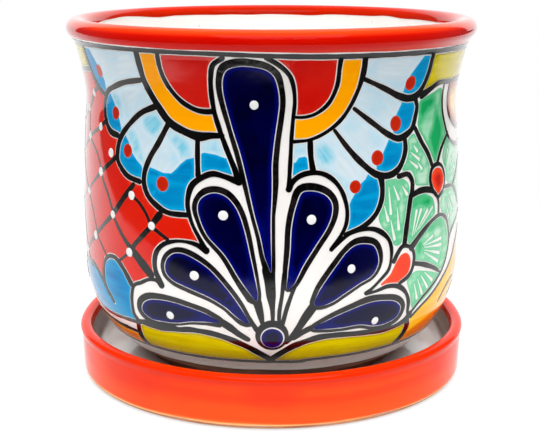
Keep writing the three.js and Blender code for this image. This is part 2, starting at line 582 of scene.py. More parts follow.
def pot_side(inset, bottom):
    """One face of the wall, from the rounded base up to the neck, set in by an inset."""
    b = (belly[0] - inset, belly[1])
    w = (waist[0] - inset, waist[1])
    n = (neck[0] - inset, neck[1])
    base = arc((belly[0] - base_reach, b[1]), (base_reach - inset, b[1] - bottom), -90, 0, 40)
    lower = sweep(b, (b[0], b[1] + wall_handle),
                  (w[0] + waist_lean * wall_handle, w[1] - wall_handle), w, 24)
    upper = sweep(w, (w[0] - waist_lean * flare_handle, w[1] + flare_handle),
                  (n[0] - neck_lean * flare_handle, n[1] - flare_handle), n, 14)
    return joined(base, lower, upper)


def pot_lip(inset):
    """The hollow under the lip, and the roll over to the inside, set in by an inset."""
    centre = (rim_radius - lip_half[0], pot_top - lip_half[1])
    roll = arc(centre, (lip_half[0] - inset, lip_half[1] - inset), lip_underside, 180, 40)
    under = math.radians(lip_underside)
    slope = np.array([math.sin(under) * -lip_half[0], math.cos(under) * lip_half[1]])
    slope = slope / np.linalg.norm(slope) * lip_handle
    hollow = sweep(neck, (neck[0] + neck_lean * lip_handle, neck[1] + lip_handle),
                   roll[0] - slope, roll[0], 8)
    return joined(hollow, roll)


def pot_finish():
    """White glaze, and bare clay below its uneven lower edge, under the pot and in the drain hole."""
    f = Finish("pot_white_glaze_and_clay")
    place = f.add("ShaderNodeTexCoord").outputs["Object"]
    x, y, z = f.split(place)
    radius = (x * x + y * y) ** 0.5
    edge = z / mm + (texture(f, place, 38, 3.0) - 0.5) * 2.4
    past_floor = (radius / mm).rise(glazed_floor - 0.1, glazed_floor)
    on_floor = (radius / mm).rise(glazed_floor + 0.6, glazed_floor + 0.5)
    wall = edge.rise(glaze_foot_z - 0.15, glaze_foot_z + 0.15) * past_floor
    floor = (z / mm).rise(floor_top - 0.7, floor_top - 0.5) * on_floor
    glazed = (wall + floor).rise(0, 1)
    clay = clay_colour(f, place, pot_clay, colour(84, 44, 26))
    base = blend(f, glazed, clay, white_colour(f, place))
    rough = 0.82 - glazed * 0.73 + (texture(f, place, 140, 3.0) - 0.5) * 0.05
    grain = texture(f, place, 1600, 3.0) * (1 - glazed) * 0.3
    return fired(f, place, base, rough, grain)


outer = pot_side(0, underside)
outer = outer[outer[:, 0] > foot_radius]
ring_top = np.interp(foot_radius, *pot_side(0, underside)[:30].T)  # where the base meets the foot ring
foot_inner = foot_radius - foot_width
foot = [(drain_radius + drain_edge, underside), (20, underside), (34, underside),
        (foot_inner - foot_edge, underside), (foot_inner, underside - foot_edge),
        (foot_inner, pot_base + foot_edge), (foot_inner + foot_edge, pot_base),
        (foot_radius - foot_edge, pot_base), (foot_radius, pot_base + foot_edge),
        (foot_radius, ring_top - 0.4), (foot_radius + 0.3, ring_top)]
inner = pot_side(pot_wall, floor_top)[::-1]
inner_floor = [(32, floor_top), (20, floor_top), (drain_radius + drain_edge, floor_top),
               (drain_radius, floor_top - drain_edge), (drain_radius, underside + drain_edge)]
pot_section = joined(foot, outer, pot_lip(skin), inner, inner_floor)
pot = turned("pot_body", pot_section)
pot.data.materials.append(pot_finish())
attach(pot, "pot")
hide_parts("pot")


# The red glaze on the lip
# One loaded brush went round the rolled lip. Outside, it stops just above the first black line; inside, it
# runs down unevenly and shows the white below.
lip_glaze_outside = 151.5  # height of the outer edge
lip_glaze_inside = 155.2  # mean height of the inner edge
lip_red = colour(210, 10, 0)
lip_tilt = 1.6  # mm; how much lower the outer edge runs on the right than in the middle
lip_runs = ((2.58, 0.26, 1.5), (0.79, 0.12, 1.0))  # place round the lip, width and depth of two runs inside
side_gloss = 0.9  # weight of a clear coat at the pot's sides
side_reach = (54, 84)  # mm to either side of the middle, between which it comes in


def side_coat(f, place):
    """The coat at the sides, where the glaze takes the glare of the white wall."""
    return (f.split(place)[0].size() / mm).rise(*side_reach) * side_gloss


def lip_finish():
    """Signal red, deeper round the outside where it pools, with a painted highlight and reflection at the
    front.
    """
    f = Finish("lip_red_glaze")
    place = f.add("ShaderNodeTexCoord").outputs["Object"]
    _, y, z = f.split(place)
    strokes = texture(f, place, 40, 3.0, stretch=(0.6, 0.6, 5))
    near = y.rise(0.03, -0.05)
    base = blend(f, near, colour(184, 28, 0), lip_red)
    # Painted highlight: the top of the roll turns lighter orange, at the front only.
    base = blend(f, (z / mm).rise(156.4, 159.2) * near, base, colour(250, 66, 16))
    base = blend(f, strokes.rise(0.45, 0.75) * 0.3, base, colour(226, 34, 6))
    # Painted reflection: a paler orange band along the lower edge of the roll, at the front only.
    base = blend(f, (z / mm).rise(152.8, 151.4) * near * 0.7, base, colour(216, 52, 20))
    return fired(f, place, base, 0.075, mirror=0.16, clear_coat=side_coat(f, place))


lip_line = joined(pot_lip(skin), inner[:20])  # the roll, and the top of the wall inside


def lip_outer_edge(angle):
    return place_along(lip_line, lip_glaze_outside) + shaky(angle, 0.22, 3.0) - lip_tilt * np.cos(angle)


def lip_inner_edge(angle):
    edge = place_along(lip_line, lip_glaze_inside, True) + shaky(angle, 0.5, 4.0)
    for at, width, depth in lip_runs:
        edge = edge - depth * np.exp(-((angle - at) / width) ** 2)
    return edge


lip_glaze = brushed_band("lip_red_glaze", lip_line, lip_outer_edge, lip_inner_edge, rows=56)
lip_glaze.data.materials.append(lip_finish())
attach(lip_glaze, "pot")


# How the painter works
# The wall is drawn flat in mm, u to the right from the middle of the front and v down from just under the
# lip. Washes of glaze cover what was painted before. Black lines are squeezed on with a nozzle, with bare
# white beside.
first_line_z = 150.4  # height where v is 0
unroll_radius = 84.0  # of the wall that the drawing is unrolled from
right_fold = 120.0  # past this line the back repeats the front, turned over
left_fold = right_fold - math.pi * unroll_radius
drawing_top = -3.0
drawing_depth = 137.0
point_step = 0.9  # between the points of a smooth line
halo = 0.45  # the bare white along a black line
bare = ""  # stands for bare white where a glaze is named
washes, gaps, lines, over_lines = range(4)  # the layers, lowest first
painted = []  # the layer, glaze and outline of all that is painted, in the order of painting
drops = []  # where white drops go on at the end
strokes_made = 0


def smooth_line(points, closed=False):
    """A smooth line through points, and how many points were passed at each place on it."""
    p = np.array(points, float)
    count = len(p) if closed else len(p) - 1
    line = []
    for i in range(count):
        if closed:
            a, b, c, d = (p[(i + k) % len(p)] for k in (-1, 0, 1, 2))
        else:
            b, c = p[i], p[i + 1]
            a = p[i - 1] if i > 0 else 2 * b - c
            d = p[i + 2] if i + 2 < len(p) else 2 * c - b
        span, before, after = (max(math.sqrt(np.linalg.norm(s)), 1e-6) for s in (c - b, b - a, d - c))
        leave = ((b - a) / before - (c - a) / (before + span) + (c - b) / span) * span
        arrive = ((c - b) / span - (d - b) / (span + after) + (d - c) / after) * span
        steps = max(2, round(span * span / point_step))
        for t in np.arange(steps) / steps:
            at = ((2 * t**3 - 3 * t**2 + 1) * b + (t**3 - 2 * t**2 + t) * leave
                  + (3 * t**2 - 2 * t**3) * c + (t**3 - t**2) * arrive)
            line.append((*at, i + t))
    if not closed:
        line.append((*p[-1], count))
    line = np.array(line)
    return line[:, :2], line[:, 2]


def stroke(points, width, grow, seed):
    """The outline of one squeezed line: round ends, and a width that wavers a little."""
    line, passed = smooth_line(points)
    widths = np.broadcast_to(width, len(points))
    run = along(line)
    waver = 1 + 0.05 * np.sin(run * 0.61 + seed) + 0.04 * np.sin(run * 0.23 + 2.1 * seed)
    half = np.interp(passed, np.arange(len(points)), widths) / 2 * waver + grow
    ahead = unit(np.gradient(line, axis=0))
    side = np.stack([-ahead[:, 1], ahead[:, 0]], 1)
    turn = np.radians(np.linspace(0, 180, 7)[1:-1])[:, None]
    end = line[-1] + half[-1] * (np.cos(turn) * side[-1] + np.sin(turn) * ahead[-1])
    start = line[0] - half[0] * (np.cos(turn) * side[0] + np.sin(turn) * ahead[0])
    edge = side * half[:, None]
    return np.concatenate([line + edge, end, (line - edge)[::-1], start])


def swell(outline, by):
    """A closed outline moved outwards."""
    ahead = unit(np.roll(outline, -1, 0) - np.roll(outline, 1, 0))
    u, v = outline.T
    turn = np.sign(np.sum(u * np.roll(v, -1) - v * np.roll(u, -1)))
    return outline + np.stack([ahead[:, 1], -ahead[:, 0]], 1) * turn * np.reshape(by, (-1, 1))


def oval(u, v, a, b):
    """The outline of an oval, a to each side and b up and down, with more points on a large one."""
    t = np.arange(0, 2 * math.pi, 0.26 if a > 4 else 0.37)
    return np.stack([u + a * np.cos(t), v + b * np.sin(t)], 1)


def wash(name, points, smooth=False, layer=washes):
    """A flat of glaze. A rough outline is enough where a black line covers its edge."""
    outline = smooth_line(points, closed=True)[0] if smooth else np.array(points, float)
    painted.append((layer, name, outline))


def line(points, width, gap=halo):
    """One black line, with bare white left along it."""
    global strokes_made
    strokes_made += 1
    seed = 1.7 * strokes_made
    wash("black_line", stroke(points, width, 0, seed), layer=lines)
    if gap:
        wash(bare, stroke(points, width, gap, seed), layer=gaps)


def smoothed(x, start, end):
    """0 before start, 1 after end, and a smooth climb between."""
    t = np.clip((x - start) / (end - start), 0, 1)
    return t * t * (3 - 2 * t)


# The wall that the drawing lies on: radius, height and outward direction at steps down from the lip.
wall_step = 0.4
above_first_line = 1.6
wall_up = joined(foot[-2:], outer, pot_lip(skin))
wall_up = wall_up[:np.argmax(wall_up[:, 1] > first_line_z + above_first_line) + 1]
wall_steps = np.arange(0, along(wall_up)[-1], wall_step)
wall_down = np.stack([np.interp(wall_steps, along(wall_up), part) for part in wall_up.T], 1)[::-1]
wall_v = along(wall_down) - np.interp(-first_line_z, -wall_down[:, 1], along(wall_down))
wall_out = -outward(wall_down)
wander_at = (1.2, 1.75)  # radians from the middle of the front, past which the hand wanders more
wander_top = (3, 14)  # mm down from the first line, where that starts
wander_base = (108, 124)  # and where it ends


def on_wall(u, v, proud):
    """Places and outward directions on the pot for places on the drawing; the back isn't an exact copy."""
    a = u / unroll_radius
    far = smoothed(np.abs((a + math.pi) % (2 * math.pi) - math.pi), *wander_at)
    calm = far * smoothed(v, *wander_top) * (1 - smoothed(v, *wander_base))
    a = a + far * (0.011 * np.sin(7 * a + v / 17) + 0.006 * np.sin(19 * a - v / 23))
    v = v + calm * (0.7 * np.sin(9 * a + 1.3) + 0.45 * np.sin(23 * a + v / 31))
    r, z = (np.interp(v, wall_v, wall_down[:, i]) for i in (0, 1))
    out_r, out_z = (np.interp(v, wall_v, wall_out[:, i]) for i in (0, 1))
    r = r + out_r * proud
    z = z + out_z * proud
    places = np.stack([r * np.sin(a), -r * np.cos(a), z], -1) * mm
    return places, np.stack([out_r * np.sin(a), -out_r * np.cos(a), out_z], -1)


glazes = {}  # the finish of each glaze


def mix_glaze(name, main, thin, deep, streaks=None, pool=(0.2, 1.6), gloss=0.07, mirror=0.5, from_sun=False):
    """A glaze with another shade at its edge, deeper clouds where the brush left more, and brush streaks."""
    main, thin, deep, streaks = (shade and colour(*shade) for shade in (main, thin, deep, streaks))
    f = Finish(name)
    place = f.add("ShaderNodeTexCoord").outputs["Object"]
    edge = f.amount(f.add("ShaderNodeAttribute", {"attribute_name": "edge"}), "Fac")
    clouds = texture(f, place, 62, 3.0)
    base = blend(f, clouds.rise(0.38, 0.75), main, deep)
    if from_sun:
        across = f.add("ShaderNodeAttribute", {"attribute_name": "from_sun"}).outputs["Vector"]
        drawn = texture(f, across, 0.9, 3.0, stretch=(1, 0.06, 1))
        base = blend(f, drawn.rise(0.34, 0.66) * 0.8, base, streaks)
    elif streaks:
        drawn = texture(f, place, 34, 4.0, stretch=(1, 1, 9), turn=0.16, shift=(1, 4, 2))
        base = blend(f, drawn.rise(0.36, 0.68), base, streaks)
    base = blend(f, edge.rise(*pool), thin, base)
    glazes[name] = fired(f, place, base, gloss, edge.rise(0, 0.5) * 0.05, mirror, side_coat(f, place))


# The two rings and the yellow bands
# A black ring runs round under the lip and another round the base. Bands of olive yellow fill the corners
# between the rings and the big curves.
mix_glaze("yellow_glaze", (210, 192, 2), (184, 166, 0), (196, 174, 0), (222, 208, 4), pool=(0.0, 1.2),
          mirror=0.15)
wash("yellow_glaze", [(-146, 0), (-94, 0), (-94.5, 6), (-96, 10.5), (-110, 12.4), (-125, 13.6), (-146, 14)])
wash("yellow_glaze", [
    (71, 1), (122, 1), (122, 15.6), (91, 15.6), (83.4, 15.2), (77, 16), (70, 18.8), (70.4, 12)])
wash("yellow_glaze", [
    (-63.5, 114), (-50, 113.6), (-35, 112.4), (-25, 113), (-14.5, 116.5), (-4.4, 123), (-0.6, 126.6),
    (-20, 127.6), (-45, 127.4), (-64.5, 127)])
wash("yellow_glaze", [
    (64.8, 111), (58, 114.8), (42, 115), (25, 114.1), (14.4, 116.1), (4.3, 122), (-0.2, 126.6), (20, 127.4),
    (45, 127.2), (65, 126.8)])
line([(-146, 0.2), (-100, -0.4), (-60, -0.5), (-20, -0.2), (0, 0.5), (20, 1.0), (60, 1.4), (100, 1.6),
      (122, 1.4)],
     (2.4, 2.4, 2.2, 2.0, 2.0, 2.1, 2.0, 2.1, 2.2), 0.5)
line([(-146, 128.2), (-100, 128), (-50, 127.8), (0, 128), (14, 128.2), (16, 127.6), (60, 127), (122, 127.6)],
     (1.6, 1.4, 1.3, 1.6, 2.0, 1.4, 1.3, 1.6), 0.5)
line([(-94, 10.8), (-104, 11.6), (-118, 13), (-131, 13.9), (-146, 14.2)], (2.2, 1.9, 1.8, 1.8, 1.8))
line([(69.1, 19.5), (72.2, 18.4), (75.6, 17.2), (79.2, 15.9), (83.6, 15.4), (91, 15.9), (101, 15.9),
      (122, 16.2)],
     (3.2, 2.9, 2.5, 2.2, 2.0, 1.8, 1.6, 1.5), 0.3)
line([(-63, 113.5), (-63.4, 115.4), (-64.8, 120), (-65.2, 124.5), (-63.6, 127.3)],
     (2.4, 2.6, 3.0, 3.2, 3.0))
line([(63.8, 113.2), (65.6, 117.2), (65.4, 121.3), (63.6, 126)], (3.0, 3.4, 3.4, 4.0))


# The red lattice
# The left-hand field is a red ground under a net of thin lines that cross at white drops. The net is drawn
# straight over the wash, so it has no bare white beside it.
mix_glaze("lattice_red_glaze", (216, 26, 2), (224, 46, 18), (204, 12, 0), pool=(0.0, 0.5), mirror=0.4)
wash("lattice_red_glaze", [
    (-146, 12), (-96, 12), (-92.4, 13), (-88, 18), (-80, 19.6), (-78, 30), (-70, 38), (-68, 50), (-55, 54),
    (-50, 62), (-36, 63.6), (-30, 66), (-25, 77), (-47, 78), (-48, 92), (-60, 97), (-64, 104), (-82, 106),
    (-90, 98), (-104, 96.5), (-116, 103), (-122, 103), (-134, 98), (-146, 99)])
net = [  # the points of each line and their widths
    ([(-146, 52), (-130, 46), (-119, 35), (-104, 28.5), (-94, 21), (-87, 17)], 1.8),
    ([(-146, 66), (-130, 55), (-117, 48.6), (-104, 42), (-100, 40), (-86.9, 34.4), (-81.5, 31)], 1.8),
    ([(-72.9, 45.3), (-77.7, 48.6), (-85.5, 53.2), (-92.7, 57.9), (-101.6, 63.3), (-120, 71), (-133, 80),
      (-146, 90)],
     (2.1, 2.0, 2.0, 1.4, 1.2, 1.4, 1.6, 1.6)),
    ([(-61.1, 55.1), (-65.2, 59.2), (-70.8, 65.2), (-75, 69.5), (-82.1, 74.7), (-91.9, 81.7), (-104, 89.2),
      (-122, 102)],
     (2.5, 2.5, 2.5, 2.4, 1.9, 1.8, 1.8, 1.8)),
    ([(-46.8, 65.4), (-49.3, 68.2), (-51, 70.5), (-54.7, 74.1), (-61.2, 80.4), (-63.9, 83.5), (-70.5, 88.2)],
     (3.0, 2.8, 2.6, 2.4, 2.2, 1.3, 1.2)),
    ([(-104, 28.5), (-100, 40), (-91.6, 44.8), (-88.5, 47.6), (-86.3, 50.4), (-83.7, 55.8), (-79.1, 61.4),
      (-75, 68)],
     (1.6, 1.4, 1.0, 1.0, 1.1, 1.3, 1.5, 1.5)),
    ([(-75, 69.5), (-71.9, 73.3), (-67.6, 77.8), (-63.6, 81.3), (-60.6, 83.4), (-56.3, 86.9), (-51.7, 90.9)],
     (1.7, 1.8, 2.1, 2.8, 3.6, 4.1, 3.6)),
    ([(-125, 14), (-119, 35), (-117, 48.6), (-101.7, 64.4), (-96.4, 70), (-91.6, 77.2), (-88.9, 82.1),
      (-84.4, 85.5), (-81, 88.6)],
     (1.6, 1.6, 1.4, 1.1, 1.1, 1.1, 1.1, 1.1, 1.1)),
    ([(-137, 14), (-130, 46), (-130, 55), (-120, 70.6), (-105.6, 90.6), (-99, 96)], 1.5),
    ([(-146, 66), (-133, 80), (-122, 100)], 1.6),
    ([(-62.2, 59.5), (-58, 61.7), (-53.9, 65.8), (-51, 70.5), (-46.8, 73), (-43.2, 74.9)],
     (1.5, 1.5, 1.5, 1.6, 1.6, 1.6)),
]
for points, widths in net:
    line(points, widths, 0)
drops += [
    (-104, 28.5), (-94, 21), (-86.9, 34.4), (-100, 40), (-76.8, 44), (-85.5, 53.2), (-62.2, 59.5),
    (-100.9, 64), (-75, 69.5), (-51, 70.5), (-91.9, 81.7), (-63.9, 83.5), (-105.8, 91.1), (-119, 35),
    (-117, 48.6), (-120, 70.6), (-130, 55), (-130, 46), (-133, 80), (left_fold, 52), (left_fold, 65),
    (left_fold, 97)]


# The leaves on the right
# Translucent green on the bare white, paler or deeper from leaf to leaf, with a second, darker coat in
# places and white marks that fan out from the buds like the teeth of a comb.
mix_glaze("leaf_glaze", (170, 222, 190), (104, 200, 148), (132, 208, 162), (200, 232, 210), pool=(0.0, 1.9),
          mirror=0.6)
mix_glaze("leaf_mid_glaze", (112, 204, 152), (84, 194, 130), (92, 198, 136), (156, 220, 182),
          pool=(0.0, 2.0), mirror=0.6)
mix_glaze("leaf_deep_glaze", (0, 168, 92), (72, 188, 126), (0, 156, 82), pool=(0.0, 1.8), mirror=0.4)
leaves = [  # the shade and the outline of each
    ("mid", [(68.2, 22), (72.1, 20.6), (78.4, 19), (84.8, 18.1), (87, 24.6), (88.2, 29.9), (90.1, 35.5),
        (90.4, 38.2), (85.4, 41.8), (80.8, 48.4), (79.4, 50), (78.2, 47.4), (74.8, 42.2), (70.8, 37.2),
        (67.2, 32), (67.8, 28)]),
    ("", [(60.8, 36.6), (64.2, 34.6), (67.4, 37.8), (71.2, 41.8), (74.2, 46.2), (74.9, 50.4), (74.6, 56.8),
        (69.9, 56.5), (64.8, 55.4), (64.2, 52.5), (62, 49.3), (57, 48.6), (59.4, 45), (60.8, 41)]),
    ("", [(47.6, 52.2), (52, 51.6), (56.5, 51.8), (60.4, 54.5), (61, 58.5), (59.8, 66.5), (57.8, 75.1),
        (56.3, 78.5), (53.2, 79), (49.6, 73.9), (46.2, 70.2), (44.6, 66.4), (47.4, 60), (47.9, 56)]),
    ("", [(62.7, 61.2), (66, 60), (69.8, 59.8), (77.2, 63), (78.9, 66.7), (79.2, 69.6), (73.1, 72.3),
        (66.2, 77.1), (62.2, 79.8), (60.6, 79), (61.6, 69.8)]),
    ("", [(64.9, 82.3), (70.1, 77.2), (75.4, 74), (81.4, 72), (87.1, 73.2), (91.5, 78.4), (93.7, 85),
        (91.6, 91), (85.4, 95.2), (74.9, 90.7), (65.3, 87.2)]),
    ("", [(60.4, 94.9), (64.8, 92), (70.7, 92.7), (79.9, 95.4), (84.9, 97.5), (80.8, 101), (72.8, 105.8),
        (65.6, 108.2), (63.9, 104.7), (62.3, 100.2)]),
    ("", [(92.6, 39.4), (100, 43.4), (110, 46), (122, 46.4), (122, 50), (108, 55), (98, 60), (91, 58),
        (89.8, 53), (87, 49), (86.6, 46)]),
    ("", [(85, 63.6), (90, 61.4), (98, 62.6), (106, 67), (112, 72), (110, 76), (103, 78), (97, 81),
        (95.4, 78), (91.6, 72.8), (85, 70)]),
    ("", [(100, 61), (110, 55.6), (122, 51.4), (122, 72.8), (113, 70), (107, 65)]),
    ("deep", [(69.1, 22), (73, 20.9), (77.9, 20), (79.8, 23), (76.8, 25.6), (73, 27.4), (69.8, 30.3),
        (67.9, 31.2), (68.4, 26)]),
    ("deep", [(81, 26.6), (84.4, 30), (86.6, 35.6), (84.4, 40.6), (79.8, 46.8), (76.6, 41.6), (75.2, 37.4),
        (77.6, 34.4), (79.4, 31.4)]),
    ("deep", [(63.4, 61.6), (68.8, 60.4), (75.1, 62.4), (76.5, 64.4), (72.9, 65.7), (66.9, 64),
        (63.2, 65)]),
    ("deep", [(73.7, 76.1), (78.3, 73.4), (85.5, 73.4), (88, 77.7), (81.4, 75.6), (76.6, 77)]),
    ("mid", [(86.4, 74.6), (91.3, 79.1), (93.7, 85.3), (91, 91.6), (84.9, 94.8), (83.1, 92.9), (86.2, 86.7),
        (85.8, 79.1)]),
    ("deep", [(65.6, 82.8), (68.1, 79.6), (70, 81.8), (67.6, 84.9)]),
]
for shade, points in leaves:
    wash(f"leaf_{shade}_glaze" if shade else "leaf_glaze", points, smooth=True)
brush_marks = [  # start and end of each
    (64.1, 39.4, 66.2, 41.8), (62.2, 42, 67.4, 45.4), (61.2, 45.2, 66, 48.4), (66.6, 46.6, 69, 49.4),
    (52.2, 54.4, 54.8, 60), (56.9, 55, 59.5, 58.6), (47.4, 62, 49.3, 68), (50.7, 68.2, 52.7, 76.1),
    (54.1, 63.4, 55, 72.3), (49.6, 54.7, 50.7, 65.3), (62.9, 76.6, 65.5, 66.4), (63.9, 76.1, 68.4, 66.4),
    (65.2, 75.2, 73, 67.4), (67, 74.3, 76.9, 66.8), (70.2, 81.5, 77.3, 79.2), (71.3, 81.9, 85.3, 81.6),
    (71.3, 82.8, 85.4, 84.4), (71.4, 84, 83.7, 87.6), (71.3, 85, 82.4, 91), (71.8, 93.6, 78, 98.3),
    (69.4, 94.6, 74.4, 100.6), (67, 95.6, 70.8, 102.6), (64.8, 97, 67.6, 104), (90, 50, 93, 45),
    (91.4, 54.6, 98, 49.6), (93, 57, 103, 53), (92, 64, 99, 72), (89, 65, 94, 74)]
mark_widths = (0.4, 1.0, 1.5)  # at the start of a mark, past its middle and at its end
for u0, v0, u1, v1 in brush_marks:
    middle = (u0 * 0.4 + u1 * 0.6, v0 * 0.4 + v1 * 0.6)
    wash(bare, stroke([(u0, v0), middle, (u1, v1)], mark_widths, 0, u0))
line([(65.2, 32.4), (69.3, 38.6), (73.6, 43.7), (76.6, 48.8)], (2.0, 2.3, 2.4, 2.4), 0.45)
line([(81.4, 48.6), (85.2, 43.4), (93, 37.6)], (2.0, 2.0, 1.2), 0.4)
line([(55, 50.8), (60.2, 50.6), (62.7, 53.7), (62.6, 58.6)], (2.2, 2.2, 2.2, 2.8), 0.4)
line([(61.4, 60), (67, 58.5), (73, 58.7), (78.5, 60.8), (82, 64.6), (82.4, 71)],
     (2.2, 2.5, 2.8, 1.8, 1.6, 1.4), 0.4)
line([(61.9, 59.5), (60.2, 67.8), (58.3, 79.3)], 2.6, 0.4)
line([(62.5, 81.3), (69, 76.4), (77, 72.4), (84, 71.2), (90.4, 74), (93.4, 78.4), (94.8, 84), (92.9, 89.2),
      (90.3, 93), (86.6, 96.2), (81.7, 99.1), (76.3, 102), (71.1, 104.9), (65.7, 109.7)],
     (2.8, 2.4, 1.8, 1.6, 1.6, 1.4, 1.2, 1.1, 1.1, 1.1, 1.1, 1.2, 1.2, 1.4), 0.4)
line([(64.9, 88.4), (70.9, 90), (77, 92.3), (81.9, 94.6), (85, 96.5)], (2.0, 2.2, 2.0, 1.5, 0.8), 0.4)
line([(88, 60), (98.8, 61.4), (106, 66), (112, 71), (122, 74)], (1.5, 1.3, 1.3, 1.3, 1.3), 0.4)
line([(122, 50), (113, 52), (106, 57), (98.8, 61.4)], 1.3, 0.4)
line([(94.8, 84), (98, 81), (103, 79), (111, 77), (122, 75.6)], 1.2, 0.4)


# The scallops, the golden ground and the orange panels at the base
# Turquoise scallops edge the foot of the lattice; on the other side a band of bare white parts the leaves
# from a golden ground. Orange panels stand on the base ring, with no line between them and the gold.
mix_glaze("gold_glaze", (254, 190, 2), (252, 198, 30), (250, 178, 0), (253, 202, 56), pool=(0.0, 1.6),
          mirror=0.08)
mix_glaze("orange_glaze", (246, 122, 0), (250, 152, 4), (234, 106, 0), (250, 132, 2), pool=(0.0, 2.4),
          mirror=0.06)
wash("turquoise_glaze", [
    (-83.6, 98), (-83.3, 93.6), (-82, 90.6), (-78.8, 88.4), (-74.2, 88), (-69.7, 90.3), (-66, 93.8),
    (-62.8, 97.6), (-64, 108), (-63.6, 114.4), (-80, 115), (-85, 108)])
wash("turquoise_glaze", [
    (-83.4, 103), (-87.1, 99.2), (-92.1, 96.6), (-98.6, 95.2), (-106, 95.6), (-111.4, 98), (-109, 105),
    (-103, 111), (-95, 114.6), (-80, 115)])
wash("turquoise_glaze", [
    (-117, 108), (-120, 103), (-126, 99), (-134, 97.5), (-146, 99), (-146, 110), (-132, 112.6),
    (-118, 113)])
gold_edge = [
    (71.8, 108.7), (77.4, 105.8), (83.9, 102.1), (88.8, 99.2), (95.1, 95.9), (101.1, 92.2), (104.9, 89),
    (112, 85), (122, 82.6)]
wash("gold_glaze", [(66.7, 112.3), *gold_edge, (122, 127.4), (66, 126.8)])
wash("orange_glaze", [
    (-66.5, 120.4), (-75, 120), (-84, 119.6), (-92, 119), (-100, 118.4), (-108, 119.4), (-114, 121.8),
    (-118, 127.7), (-66, 127.4)])
wash("orange_glaze", [
    (66.4, 120.4), (71.5, 119.4), (77.3, 117.2), (82, 115.8), (87.1, 115.2), (94, 115.2), (100, 115.9),
    (110, 118.4), (116, 122), (119.6, 127.5), (65.5, 127)])
line([(-67.3, 120.1), (-73.3, 119.8), (-81.4, 119.7), (-91.9, 119.1), (-100, 118.4), (-108, 119.2),
      (-114.4, 121.8), (-118.4, 127.4)],
     1.9)
line([(-64.7, 114.5), (-72.8, 114.8), (-82.7, 115.3), (-93.1, 115.1), (-103, 112)],
     (1.8, 1.8, 1.7, 1.5, 1.0))
line([(-63, 97), (-66, 93.5), (-69.7, 90), (-74.2, 87.7), (-78.8, 88.1), (-82.3, 90.5), (-83.8, 94),
      (-84.2, 98.4), (-82.7, 103), (-80.2, 105.5), (-78.2, 108.2)],
     (2.4, 2.4, 2.2, 2.0, 1.9, 1.9, 2.0, 2.0, 2.0, 2.0, 1.8))
line([(-81.1, 105.5), (-83.4, 102.3), (-87.1, 98.8), (-92.1, 96.3), (-98.6, 94.9), (-105, 95.1), (-111, 97),
      (-114.6, 100.4), (-116.6, 105)],
     (2.0, 2.2, 2.2, 1.8, 1.8, 1.8, 1.8, 1.8, 1.6))
line([(-116.8, 106), (-119.6, 102.4), (-125, 99), (-133, 97.4), (-146, 98.8)], (1.8, 2.0, 2.0, 1.9, 1.9))
line([(66.2, 112.6), *gold_edge], (1.5, 1.3, 1.2, 1.2, 1.2, 1.2, 1.2, 1.2, 1.2, 1.2), 0.2)
line([(88.6, 111), (90.4, 108.6), (94.3, 105.4), (101.8, 103), (110, 104), (122, 108)],
     (0.5, 0.6, 0.7, 0.8, 0.8, 0.8), 0.6)
line([(103, 111.4), (107, 107.8), (113, 107), (122, 110.6)], (0.5, 0.7, 0.8, 0.8), 0.6)


# The petals
# Light blue petals stand round the sun, streaked away from it by the brush. Their outer ends have a
# second coat of turquoise with a ragged edge, and each carries one red spot.
mix_glaze("petal_glaze", (214, 228, 235), (200, 224, 236), (156, 211, 232), (200, 218, 227), from_sun=True)
mix_glaze("turquoise_glaze", (0, 132, 190), (6, 156, 208), (0, 112, 174), (0, 150, 204), pool=(0.0, 1.5),
          mirror=0.14)
mix_glaze("spot_glaze", (190, 35, 5), (204, 52, 20), (180, 24, 2), pool=(0.0, 0.8), mirror=0.35)
wash("petal_glaze", [
    (-95, 1), (-94, 7.5), (-91, 14), (-86.5, 18.4), (-81, 19.8), (-82.6, 23.4), (-83.2, 28), (-81.1, 32.3),
    (-77.6, 35.2), (-71.8, 36.4), (-71.6, 41.4), (-71.4, 46), (-68.8, 49.3), (-64.5, 51.9), (-57, 53.2),
    (-54.8, 54.4), (-52.8, 58.4), (-49.1, 61.4), (-43.3, 63.8), (-34, 64), (-31, 55), (-20, 48), (-13, 52),
    (7, 52), (15, 47), (28, 52), (30.4, 62.5), (29, 71.5), (38.4, 68.4), (43.3, 64.6), (45.9, 59.6),
    (46.4, 54.6), (45.7, 49.9), (49.9, 49.8), (54.6, 48), (57.6, 44.2), (59, 40.3), (58.8, 36),
    (63.4, 32.3), (65.5, 28.2), (66.5, 24), (65.4, 20.4), (68.8, 15.9), (70.9, 10.4), (71.2, 1)])
mix_glaze("sky_glaze", (108, 197, 223), (190, 220, 232), (128, 202, 225), (164, 213, 229), pool=(0.0, 2.4),
          from_sun=True)
sky_patches = [
    [(-28.8, 34.4), (-21, 33.2), (-17.8, 38), (-20, 39.8), (-24, 38.8), (-28.6, 39.8)],
    [(8.4, 35.6), (15, 35), (15.2, 39.4), (11, 39.4), (8.4, 41.4)],
    [(17, 36.4), (20.4, 34.4), (24.6, 37.8), (25.6, 42), (22.4, 44.2), (17.8, 41.6)],
    [(17.8, 42.4), (22.4, 45), (28.6, 49), (33, 52.4), (32, 58), (28.8, 55.4), (24.6, 50.6), (19.4, 46.4)],
    [(-45.6, 28), (-50.2, 24), (-56.6, 26.4), (-56, 31.6), (-49, 34.6)],
    [(-67.8, 36.4), (-63.6, 31.8), (-59, 34.6), (-56, 41.2), (-54.6, 46.8), (-58, 46), (-62, 42.4),
        (-65, 38.8)],
    [(-78, 20), (-73, 18), (-68.8, 22.6), (-69.2, 29), (-72.6, 26.4)],
    [(-44, 30.8), (-38.6, 31), (-34, 34.4), (-32, 41.6), (-36, 43.4), (-39, 39), (-42.6, 35.4)],
]
for points in sky_patches:
    wash("sky_glaze", points, smooth=True)
